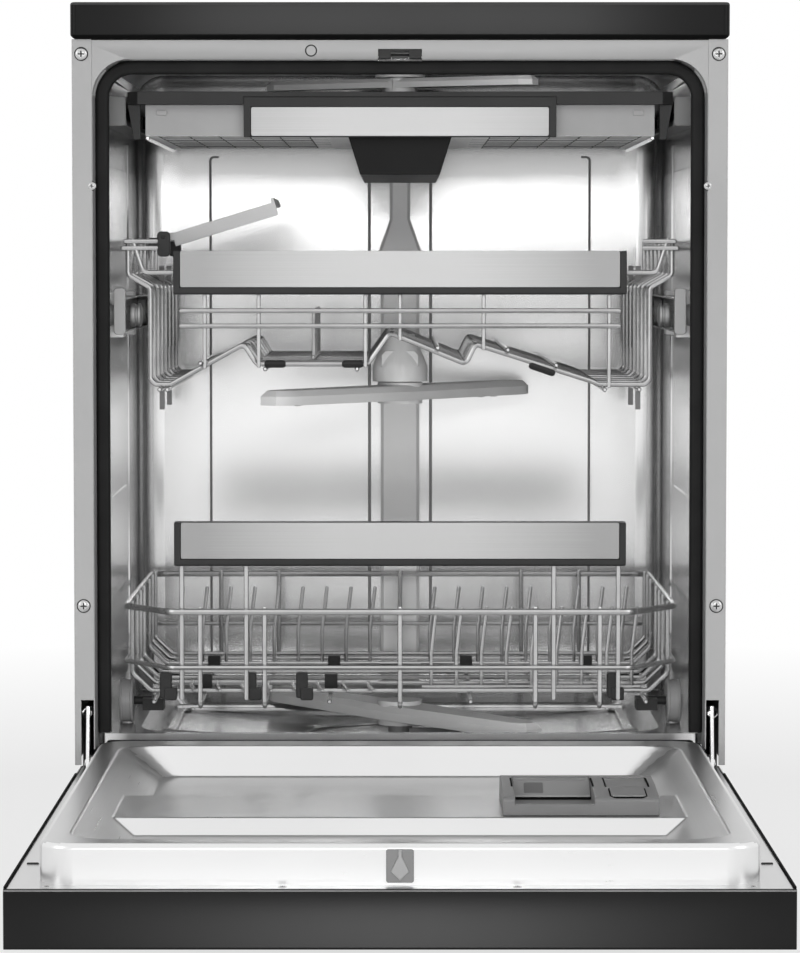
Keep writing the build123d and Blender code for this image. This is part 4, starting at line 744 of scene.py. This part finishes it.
def wall_pressings():
    """Shallow panels pressed into the side walls and the seam where the rear pan meets them."""
    wall = high("tub_back").x - MM
    face = wall - PANEL_DEPTH
    built = bmesh.new()
    for front, foot, rear, top in WALL_PANELS:
        for side in SIDES:
            pad(built, (side * wall, front * MM, foot * MM), (side * face, rear * MM, top * MM),
                (-side, 0, 0), 16 * MM, 1.3 * MM)
    seam_x, seam_y, seam_foot, seam_top = wall - MM, 90 * MM, 190 * MM, 730 * MM
    wire_pair(built, [(seam_x, seam_y, seam_foot), (seam_x, seam_y, seam_top)], SEAM_WIRE)
    piece("wall_pressings", built, "cabinet", "tub_steel")


def painted_front():
    """The tub's steel shell with its front frame in the cabinet's paint and a duller ceiling."""
    built = solid_copy("tub_wrapper")
    front, ceiling = low("tub_wrapper").y + FRAME_DEPTH, high("tub_wrapper").z - CEILING_BAND
    tone(built, 2, lambda face: face.normal.z < -0.5 and face.calc_center_median().z > ceiling)
    tone(built, 1, lambda face: face.calc_center_median().y < front)
    piece("tub_shell", built, "cabinet", "tub_steel", "tub_wrapper", new=False,
          more=(finishes["panel_grey"], satin_steel))


def round_line(built, centre, facing, radius, thick):
    """Thin raised ring round a fitting; its callers make it dark, as painted shade of the gap."""
    outline = [(along * thick, radius + out * thick) for along, out in LINE_SECTION]
    lathe(built, outline, centre, facing, unit=1)


def screws(heads, body, facing, radius, name):
    """Pan-head screws with a dark cross in each and a dark line round it, as painted shade."""
    facing = Vector(facing)
    sunk, proud = facing * 0.2 * radius, facing * 0.46 * radius
    metal, dark = bmesh.new(), bmesh.new()
    across = (Vector(UPWARD if abs(facing.y) > 0.5 else (0, 1, 0)), Vector((1, 0, 0)))
    for head in heads:
        lathe(metal, SCREW_HEAD, head, facing, unit=radius)
        for bar, width in (across, across[::-1]):
            reach = bar * 0.55 * radius + width * 0.12 * radius
            pad(dark, Vector(head) + sunk - reach, Vector(head) + proud + reach, facing, 0.08 * radius,
                0.03 * radius)
        round_line(dark, head, facing, radius, 0.2 * radius)
    piece(name, metal, body, "wire_grey")
    # painted shade: dark crosses for the recesses and dark rings for the gap round each head
    piece(name + "_crosses", dark, body, "trim_black")


def front_fixings():
    """Screws of the side flanges and the front frame, and the frame's plug."""
    flange, frame_front = low("side_panel_left").y, low("tub_wrapper").y
    flange_x, flange_heights = 290.3 * MM, (803.3 * MM, 298.9 * MM)
    heads = [(side * flange_x, flange, z) for side in SIDES for z in flange_heights]
    screws(heads, "cabinet", FORWARD, FLANGE_SCREW, "flange_screws")
    frame_x, frame_height = 281 * MM, 683.4 * MM
    screws([(side * frame_x, frame_front, frame_height) for side in SIDES], "cabinet", FORWARD, SMALL_SCREW,
           "frame_screws")
    place = (-81 * MM, frame_front, 806.4 * MM)
    plug, gap = bmesh.new(), bmesh.new()
    lathe(plug, PLUG, place, FORWARD)
    piece("frame_plug", plug, "cabinet", "panel_grey")
    round_line(gap, place, FORWARD, 4.4 * MM, 1.2 * MM)
    # painted shade: a dark ring stands in for the gap round the plug
    piece("plug_gap", gap, "cabinet", "trim_black")


def lid_edges():
    """The worktop with its edges rounded, a painted highlight along the top and painted shade under it."""
    built = solid_copy("worktop")
    round_edges(built, LID_EASE)
    top = high("worktop").z - 3 * MM
    # painted shade: faces turned down wear the near-black shadow_gap finish
    tone(built, 1, lambda face: face.normal.z < -0.3)
    # painted highlight: the upward bevel along the top edge wears a lighter black plastic
    tone(built, 2, lambda face: 0.2 < face.normal.z < 0.9 and face.calc_center_median().z > top)
    piece("worktop_eased", built, "cabinet", "lid_black", "worktop", new=False,
          more=(shadow_gap, finishes["base_black"]))


door_gasket()
floor_pressing()
wall_beads()
wall_pressings()
painted_front()
front_fixings()
lid_edges()


# Door

RIDGE_EASE = 2.2 * MM
SLOT_WIRE = 2.4 * MM
SEAM_LINE = 1.8 * MM
# The striker's kite and neck: across and up in millimetres
KITE = ((0, -6.8), (7, 0), (1.3, 11.5), (1.3, 16.6), (-1.3, 16.6), (-1.3, 11.5), (-7, 0))
# Seams over the dispenser's top: back from its front and up from its foot in millimetres
SEAM_BENDS = ((47, 17.4), (60, 18.1), (90, 18.1), (100, 16.6))
LID_SLOPE = math.atan2(9.3, 22)
TAB_SLOPE = math.atan2(3.5, 60)


def pressed_liner():
    """The door liner with its ridges rounded; its forward walls are lighter: painted light and shade."""
    built = solid_copy("door_liner")
    flange = low("door_liner").z + 2.5 * MM
    ridges = [edge for edge in sharp_edges(built, 12) if min(vert.co.z for vert in edge.verts) > flange]
    bevel(built, ridges, RIDGE_EASE, 3)
    # painted light: faces turned towards the front get the lighter copy of the steel
    tone(built, 1, lambda face: face.normal.y < -0.35)
    piece("door_liner_pressed", built, "door", "tub_steel", "door_liner", new=False, finish=door_steel_shaded,
          more=(door_steel_lit,))


def door_fixings():
    """Dark slots, as painted shade, and screw heads in the flange round the door liner."""
    flange = low("door_liner").z + MM
    slot_inner, slot_outer, slot_y = 283 * MM, 291 * MM, -782 * MM
    built = bmesh.new()
    wire_pair(built, [(slot_inner, slot_y, flange), (slot_outer, slot_y, flange)], SLOT_WIRE)
    piece("flange_slots", built, "door", "trim_black")
    screw_y, screw_z, screw_places = -892 * MM, flange - 0.9 * MM, (266 * MM, 88.5 * MM)
    heads = [(side * x, screw_y, screw_z) for side in SIDES for x in screw_places]
    screws(heads, "door", UPWARD, SMALL_SCREW, "door_screws")


def door_edges():
    """Black edge of the outer panel along both sides of the liner's flange."""
    foot = low("door_liner")
    inner, outer, rear = high("door_liner").x + 0.9 * MM, high("door_outer_panel").x, -264 * MM
    built = bmesh.new()
    for side in SIDES:
        pad(built, (side * inner, foot.y, foot.z), (side * outer, rear, foot.z + 2.6 * MM), UPWARD, 0.5 * MM,
            0.3 * MM)
    # The edge wears the dull near-black shadow_gap finish: partly the panel's real black edge, partly painted
    # shade
    piece("door_edge_trim", built, "door", "door_black", finish=shadow_gap)


def striker():
    """Rounded plate on the door's edge, darker as painted shade, with a paler raised kite and its neck."""
    box_low, box_high = corners("latch_striker")
    face, middle, sunk = box_low.y + 1.4 * MM, box_low.z + 8.6 * MM, 0.2 * MM
    built, kite = bmesh.new(), bmesh.new()
    pad(built, (box_low.x, face, box_low.z), box_high, FORWARD, 1.8 * MM, 0.5 * MM)
    kite.faces.new([kite.verts.new((x * MM, face + sunk, middle + z * MM)) for x, z in KITE])
    raised = only(bmesh.ops.extrude_face_region(kite, geom=kite.faces[:])["geom"], bmesh.types.BMVert)
    bmesh.ops.translate(kite, vec=(0, box_low.y - face - sunk, 0), verts=raised)
    bevel(kite, [edge for edge in kite.edges if all(vert in raised for vert in edge.verts)], 0.6 * MM, 2)
    join(built, kite)
    # painted shade: the plate's faces behind the kite wear the darker plastic
    tone(built, 1, lambda part: part.calc_center_median().y > face - 0.1 * MM)
    piece("striker_plate", built, "door", "plastic_grey", "latch_striker", more=(painted_shade_plastic,))


def detergent_fittings():
    """Window of the detergent lid, and its dark slit as painted shade."""
    lid_low, lid_high = corners("detergent_lid")
    slope = Matrix.Translation((0, lid_low.y, lid_low.z + 3.2 * MM)) @ Matrix.Rotation(LID_SLOPE, 4, "X")
    left, right, foot, top = lid_low.x + 9 * MM, lid_low.x + 25 * MM, 4 * MM, 21 * MM
    window, slit = bmesh.new(), bmesh.new()
    pad(window, (left, foot, -MM), (right, top, 0.35 * MM), UPWARD, 1.5 * MM, 0.2 * MM, slope)
    front, rear, slit_top = lid_low.y - 0.4 * MM, lid_low.y + MM, lid_low.z + 2.2 * MM
    pad(slit, (lid_low.x, front, lid_low.z), (lid_high.x, rear, slit_top), FORWARD, 0.3 * MM, 0.2 * MM)
    piece("lid_window", window, "detergent_lid", "base_black", finish=window_plastic)
    # painted shade: a near-black strip stands in for the gap under the lid's front edge
    piece("lid_slit", slit, "detergent_lid", "base_black", finish=shadow_gap)


def rinse_aid_fittings():
    """Seams over the dispenser's top, and the press tab of its rinse-aid side with the gap round it."""
    body = low("dispenser_body")
    flap_low, flap_high = corners("rinse_aid_flap")
    seams, tab = bmesh.new(), bmesh.new()
    beside_flap = (flap_low.x - 0.2 * MM, flap_high.x + 0.2 * MM)
    beside_lid = (high("detergent_lid").x + 1.2 * MM, body.x + 8.6 * MM)
    for x in (*beside_flap, *beside_lid):
        wire(seams, [(x, body.y + back * MM, body.z + up * MM) for back, up in SEAM_BENDS], SEAM_LINE, 6 * MM)
    tilt = Matrix.Translation((0, body.y, body.z + 15 * MM)) @ Matrix.Rotation(TAB_SLOPE, 4, "X")
    left, right, sunk, gap = flap_low.x + 2.5 * MM, flap_high.x - 4.5 * MM, -2 * MM, 1.2 * MM
    pad(seams, (left - gap, 1.1 * MM, sunk), (right + gap, 40 * MM, 0.35 * MM), UPWARD, 5 * MM, 0.2 * MM,
        tilt)
    pad(tab, (left, 2.5 * MM, sunk), (right, 39 * MM, 1.1 * MM), UPWARD, 4 * MM, 0.8 * MM, tilt)
    # painted shade: the seams and the gap round the tab are near-black strips
    piece("dispenser_seams", seams, "door", "trim_black", finish=shadow_gap)
    piece("dispenser_tab", tab, "door", "plastic_grey")


pressed_liner()
door_fixings()
door_edges()
striker()
detergent_fittings()
rinse_aid_fittings()


# Running gear

# Outlines of (along, out) points in millimetres
ROLLER_WIDTH = 13
ROLLER = ((0, 0), (0, 6), (2, 6.5), (2, 16), (0, 17.5), (0, 20), (0.8, 21), (2.2, 21), (3, 20.2),
          (10.5, 20.2), (11.2, 21), (12.4, 21), (13, 20.2), (13, 17), (10.5, 15.5), (10.5, 7),
          (13, 6), (13, 0))
BOSS = ((0, 0), (0, 12.5), (1.5, 12.5), (4, 10.5), (8.3, 9), (8.3, 0))
RAIL_WHEEL = ((0, 0), (0, 4), (2, 5), (3, 10), (4.5, 10.8), (7, 10.8), (8, 9.5), (9, 9.5), (10, 10.8),
              (12, 10.8), (13, 9.5), (14, 6), (14, 0))
JET = ((-1.5, 0), (-1.5, 4.4), (1.2, 4.0), (2.4, 2.8), (2.4, 1.4), (1.2, 1.2), (1.2, 0))
# Jets of the middle arm: share of the way to its tip, and whether they face up
JETS = ((0.62, -1), (0.72, -1), (-0.74, -1), (0.80, 1), (0.45, 1), (-0.45, 1), (-0.72, 1))
FOOT_PAD = 20 * MM
THREAD_TURNS = 9
RUNNER_WIRE = 4.4 * MM
SLOT_LINE = 1.4 * MM
SLEEVE_WIRE = 7 * MM
BIN_HALF = 60 * MM
# Front clips of the lower rack in millimetres: places across, then two corners of body and toe from there
CLIP_PLACES = (-216, -137, -89, 201)
CLIP_BLOCKS = (((-8, 11, 208), (3, 22, 232)), ((-4, 10, 206), (8, 20, 218)))
# Ends of the upper rack's sleeves across and up, in millimetres
SLEEVES = (((-124, 519.5), (-108, 519.5)), ((-52, 519.5), (-36, 519.5)), ((122, 518.3), (142, 511.4)))


def rollers():
    """Turned wheels with a raised rim at each edge and a hub."""
    for node in ("front_rollers", "rear_rollers"):
        box_low, box_high = corners(node)
        centre = (box_low + box_high) / 2
        inner = box_high.x - ROLLER_WIDTH * MM
        built = bmesh.new()
        for side in SIDES:
            lathe(built, ROLLER, (side * inner, centre.y, centre.z), (side, 0, 0), 40)
        piece(node + "_turned", built, node, OTHER_SLOT[node], node)


def feet():
    """Turned levelling feet: threaded stem, lock nut and a round pad."""
    box_low, box_high = corners("levelling_feet")
    tall = box_high.z - box_low.z
    thread = []
    for i in range(THREAD_TURNS):
        z = 0.42 * tall + 0.56 * tall * i / (THREAD_TURNS - 1)
        thread += [(z, 4.6 * MM), (z + 0.03 * tall, 5.4 * MM)]
    outline = [(0, 0), (0, FOOT_PAD - MM), (MM, FOOT_PAD), (5 * MM, FOOT_PAD), (7 * MM, FOOT_PAD - 3 * MM),
               (9 * MM, 9 * MM), (0.30 * tall, 8 * MM), (0.40 * tall, 8 * MM), *thread, (tall, 4 * MM),
               (tall, 0)]
    built = bmesh.new()
    for x in (box_low.x + FOOT_PAD, box_high.x - FOOT_PAD):
        for y in (box_low.y + FOOT_PAD, box_high.y - FOOT_PAD):
            lathe(built, outline, (x, y, box_low.z), UPWARD, unit=1)
    piece("levelling_feet_turned", built, "cabinet", slots["levelling_feet"], "levelling_feet")


def rail_gear():
    """Wall bosses behind the caps of the upper rails, and the carrier wheel at the front of each rail."""
    rail_low, rail_high = corners("upper_rails")
    boss_y, wheel_y, z = rail_low.y + 11 * MM, rail_low.y + 8.3 * MM, (rail_low.z + rail_high.z) / 2
    wall, wheel_x = high("rail_brackets").x, rail_high.x - 12 * MM
    bosses, wheels = bmesh.new(), bmesh.new()
    for side in SIDES:
        lathe(bosses, BOSS, (side * wall, boss_y, z), (-side, 0, 0), 32)
        lathe(wheels, RAIL_WHEEL, (side * wheel_x, wheel_y, z), (-side, 0, 0), 32)
    piece("rail_bosses", bosses, "cabinet", "plastic_grey")
    piece("rail_wheels", wheels, "upper_rail_pair", "fascia_steel")


def tray_shell():
    """The tray's rim and bin with tapered corner posts and eased edges, the bin darker as painted shade."""
    built = solid_copy("tray_frame")
    box_low, box_high = corners("tray_frame")
    outer, post_top, post_rear = box_high.x - 11 * MM, box_high.z - 20 * MM, box_low.y + 20 * MM
    posts = [vert for vert in built.verts if vert.co.z < post_top and vert.co.y < post_rear]
    for side in SIDES:
        corner = [vert for vert in posts if outer < side * vert.co.x < outer + 2 * MM]
        bmesh.ops.translate(built, vec=(-side * 6 * MM, 0, 0), verts=corner)
    round_edges(built, 0.8 * MM)
    rim = box_high.z - 40 * MM
    # painted shade: the deep bin's faces are darker than the tray's own black
    tone(built, 1, lambda face: max(abs(vert.co.x) for vert in face.verts) < BIN_HALF
         and min(vert.co.z for vert in face.verts) < rim)
    piece("tray_shell", built, "cutlery_tray", slots["tray_frame"], "tray_frame", new=False,
          more=(painted_shade_bin,))


def insert_slots():
    """Dark slots along and across the floor of both inserts, as painted shade."""
    box_low, box_high = corners("tray_inserts")
    floor, inset = box_low.z + 0.2 * MM, 12 * MM
    left, right, column, row_first, row = 84 * MM, 224 * MM, 28 * MM, 24 * MM, 50 * MM
    front, rear = box_low.y + inset, box_high.y - inset
    built = bmesh.new()
    for i in range(6):
        x = left + column * i
        wire_pair(built, [(x, front, floor), (x, rear, floor)], SLOT_LINE, sides=6)
    for i in range(8):
        y = box_low.y + row_first + row * i
        wire_pair(built, [(left, y, floor), (right, y, floor)], SLOT_LINE, sides=6)
    piece("insert_slots", built, "cutlery_tray", "base_black")


def tray_fittings():
    """End cap of each tray rail, bright runner under each insert, and the tab on the insert's front wall."""
    box_low, box_high = corners("tray_inserts")
    rail_low, rail_high = corners("tray_rails")
    caps, rods, tabs = bmesh.new(), bmesh.new(), bmesh.new()
    x, z = box_high.x - 2 * MM, box_low.z - 2 * MM
    cap_x, cap_front, cap_rear = rail_high.x - 20 * MM, rail_low.y - 1.8 * MM, rail_low.y + 0.2 * MM
    tab_inner, tab_outer, tab_foot, tab_top = x - 18 * MM, x - 8 * MM, z + 21 * MM, z + 26 * MM
    for side in SIDES:
        pad(caps, (side * cap_x, cap_front, rail_low.z), (side * rail_high.x, cap_rear, rail_high.z), FORWARD,
            3 * MM, 0.8 * MM)
        pad(tabs, (side * tab_inner, box_low.y - 1.6 * MM, tab_foot),
            (side * tab_outer, box_low.y + MM, tab_top), FORWARD, 1.2 * MM, 0.5 * MM)
    wire_pair(rods, [(x, box_low.y, z), (x, box_high.y, z)], RUNNER_WIRE)
    piece("tray_rail_caps", caps, "cabinet", "plastic_grey", finish=rail_grey_and_edge_highlight)
    piece("tray_runners", rods, "cutlery_tray", "chrome_bright")
    piece("tray_tabs", tabs, "cutlery_tray", "plastic_grey")


def rack_sleeves():
    """Black clips at the foot of the lower rack and sleeves on the upper rack's front wire."""
    lower, upper = bmesh.new(), bmesh.new()
    front = low("lower_basket").y
    for near, far in CLIP_BLOCKS:
        for place in CLIP_PLACES:
            origin = Vector((place * MM, front, 0))
            pad(lower, origin + Vector(near) * MM, origin + Vector(far) * MM, FORWARD, 2 * MM, 1.2 * MM)
    piece("rack_front_clips", lower, "lower_rack", "trim_black")
    front = low("upper_handle_bezel").y + UPPER_FRONT
    for ends in SLEEVES:
        wire(upper, [(x * MM, front, z * MM) for x, z in ends], SLEEVE_WIRE)
    piece("rack_sleeves", upper, "upper_rack", "trim_black")


def spray_nozzles():
    """Jets on the top and the underside of the middle arm."""
    box_low, box_high = corners("middle_spray_arm")
    middle = (box_low + box_high) / 2
    tip = Vector((box_high.x, box_high.y - middle.y, 0))
    upper, lower = box_high.z - 6.5 * MM, box_low.z + 4.5 * MM
    built = bmesh.new()
    for share, up in JETS:
        spot = Vector((0, middle.y, upper if up > 0 else lower)) + tip * share
        lathe(built, JET, spot, (0, 0, up))
    piece("spray_nozzles", built, "middle_spray_arm", "plastic_pale")


def cup_clips():
    """Hinge clips of the cup shelf on the rack's side wires, with the axle between them."""
    box_low, box_high = corners("cup_bracket")
    top, wide = box_high.z, 14 * MM
    built = bmesh.new()
    for y in (box_low.y, box_high.y - wide):
        pad(built, (box_low.x, y, top - 24 * MM), (box_high.x, y + wide, top), FORWARD, 4 * MM, 1.2 * MM)
        pad(built, (box_low.x - 8 * MM, y + 3 * MM, top - 16 * MM),
            (box_low.x + 4 * MM, y + 11 * MM, top - 6 * MM), FORWARD, 2 * MM, 0.8 * MM)
    x, z = box_high.x - 6 * MM, top - 5 * MM
    wire(built, [(x, box_low.y, z), (x, box_high.y, z)], AXLE_WIRE)
    piece("cup_clips", built, "upper_rack", "base_black", "cup_bracket")


def coil_springs():
    """Balance springs of the door, wound from round wire."""
    box_low, box_high = corners("balance_springs")
    radius = (box_high.z - box_low.z) / 2
    thick, turns, steps = 1.7 * MM, 70, 10
    x, z = box_high.x - radius, (box_low.z + box_high.z) / 2
    step = (0, (box_high.y - box_low.y - thick) / turns / steps, 0)
    built = bmesh.new()
    for side in SIDES:
        start = Vector((side * x, box_low.y + thick / 2, z))
        section = ring(built, start + Vector((0, 0, radius - thick / 2)), (1, 0, 0), thick / 2, 6)
        cap(built, section)
        cap(built, spun(built, section, start, (0, 1, 0), 2 * math.pi * turns, turns * steps, step))
    made = piece("balance_springs_coiled", built, "cabinet", slots["balance_springs"], "balance_springs")
    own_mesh(made)


rollers()
feet()
rail_gear()
tray_shell()
insert_slots()
tray_fittings()
rack_sleeves()
spray_nozzles()
cup_clips()
coil_springs()


# Studio

PHOTO_HEIGHT = 953
FOCAL_PIXELS = 3835.2
SENSOR = 36.0
EYE = (0, -3.758, 0.6185)
LOOK_DOWN = 0.0571
VIEW_END = 50
FLOOR_HALF = 8.0
ROOM_LIGHT = 0.3
WHITE = (1, 1, 1, 1)


def white_to_eye(tree, plain, output, kind, share=None):
    """Show white to the camera and to reflections, in place of a share of the plain shader."""
    add, link = tree.nodes.new, tree.links.new
    path, white = add("ShaderNodeLightPath"), add(kind)
    white.inputs["Color"].default_value = WHITE
    white.inputs["Strength"].default_value = 1.0

    def combined(operation, first, second):
        """Output of a Math node on two sockets."""
        made = add("ShaderNodeMath")
        made.operation = operation
        link(first, made.inputs[0])
        link(second, made.inputs[1])
        return made.outputs[0]

    seen = path.outputs["Is Camera Ray"]
    for other in ("Is Glossy Ray", "Is Transmission Ray"):
        seen = combined("MAXIMUM", seen, path.outputs[other])
    if share:
        seen = combined("MULTIPLY", seen, share)
    mix = add("ShaderNodeMixShader")
    link(seen, mix.inputs["Fac"])
    link(plain.outputs[0], mix.inputs[1])
    link(white.outputs[0], mix.inputs[2])
    link(mix.outputs["Shader"], output.inputs["Surface"])


def surround():
    """White surround that also lights the object softly."""
    world = bpy.data.worlds.new("studio")
    bpy.context.scene.world = world
    world.use_nodes = True
    tree = world.node_tree
    room = tree.nodes["Background"]
    room.inputs["Color"].default_value = WHITE
    room.inputs["Strength"].default_value = ROOM_LIGHT
    white_to_eye(tree, room, tree.nodes["World Output"], "ShaderNodeBackground")


def pale_floor():
    """Floor that keeps the object's shadow and turns white away from it."""
    built = bmesh.new()
    bmesh.ops.create_grid(built, x_segments=1, y_segments=1, size=FLOOR_HALF)
    mesh = bpy.data.meshes.new("floor")
    built.to_mesh(mesh)
    built.free()
    floor = linked("floor", mesh)
    pale = Finish("pale_floor", Roughness=0.8)
    pale.set(Base_Color=pale.shade(pale.noise(2.0), 0.80, 0.82))
    away = pale.node("VectorMath", {"operation": "LENGTH"}, {0: pale.place}, "Value")
    fade = {"Value": away, "From Min": 0.9, "From Max": 2.4, "To Min": 0.7, "To Max": 1.0}
    share = pale.node("MapRange", {}, fade)
    output = pale.tree.nodes["Material Output"]
    white_to_eye(pale.tree, pale.shader, output, "ShaderNodeEmission", share.socket)
    mesh.materials.append(pale.material)


def lamp(name, place, aim, size, power, mirrored=True, spread=True, beam=180):
    """Soft rectangular lamp, which shows in mirrors or lights matt surfaces, or both."""
    data = bpy.data.lights.new(name, "AREA")
    data.spread = math.radians(beam)
    data.shape = "RECTANGLE"
    data.size, data.size_y = size
    data.energy = power
    made = linked(name, data)
    made.location = place
    made.visible_camera = False
    made.visible_glossy = mirrored
    made.visible_diffuse = spread
    made.rotation_euler = (Vector(aim) - Vector(place)).to_track_quat("-Z", "Y").to_euler()


def lamps():
    """Large lamps in front and at the sides, a fill over the tray, and cards for the door's reflections."""
    lamp("front_wall", (0, -4.8, 1.6), (0, 0, 0.45), (6.0, 3.0), 180, mirrored=False)
    lamp("front_strip", (0, -4.4, 1.10), (0, 0, 0.8), (0.9, 0.3), 7.5, spread=False)
    lamp("low_card", (0, -1.3, 0.043), (0, -0.9, 0.113), (0.72, 0.045), 0.0034, spread=False, beam=9)
    lamp("wall_card", (0, -4.6, 0.26), (0, 0, 0.26), (5.0, 0.48), 2.6, spread=False)
    lamp("low_fill", (0, -2.6, 0.3), (0, 0, 0.75), (2.2, 0.4), 34, mirrored=False)
    lamp("ceiling_fill", (0, -0.198, 0.779), (0, 0.25, 0.80), (0.48, 0.012), 0.25)
    lamp("left_softbox", (-2.6, -2.4, 1.6), (0, -0.2, 0.4), (1.2, 1.8), 10)
    lamp("right_softbox", (2.6, -2.4, 1.6), (0, -0.2, 0.4), (1.2, 1.8), 10)


def camera():
    """Camera at the photograph's viewing angle."""
    eye = bpy.data.cameras.new("camera")
    eye.sensor_fit = "VERTICAL"
    eye.sensor_height = SENSOR
    eye.lens = FOCAL_PIXELS * SENSOR / PHOTO_HEIGHT
    eye.clip_end = VIEW_END
    made = linked("camera", eye)
    made.location = EYE
    made.rotation_euler = (math.radians(90) - LOOK_DOWN, 0, 0)
    bpy.context.scene.camera = made


bpy.context.scene.view_settings.view_transform = "Standard"
surround()
pale_floor()
lamps()
camera()
bpy.context.view_layer.update()
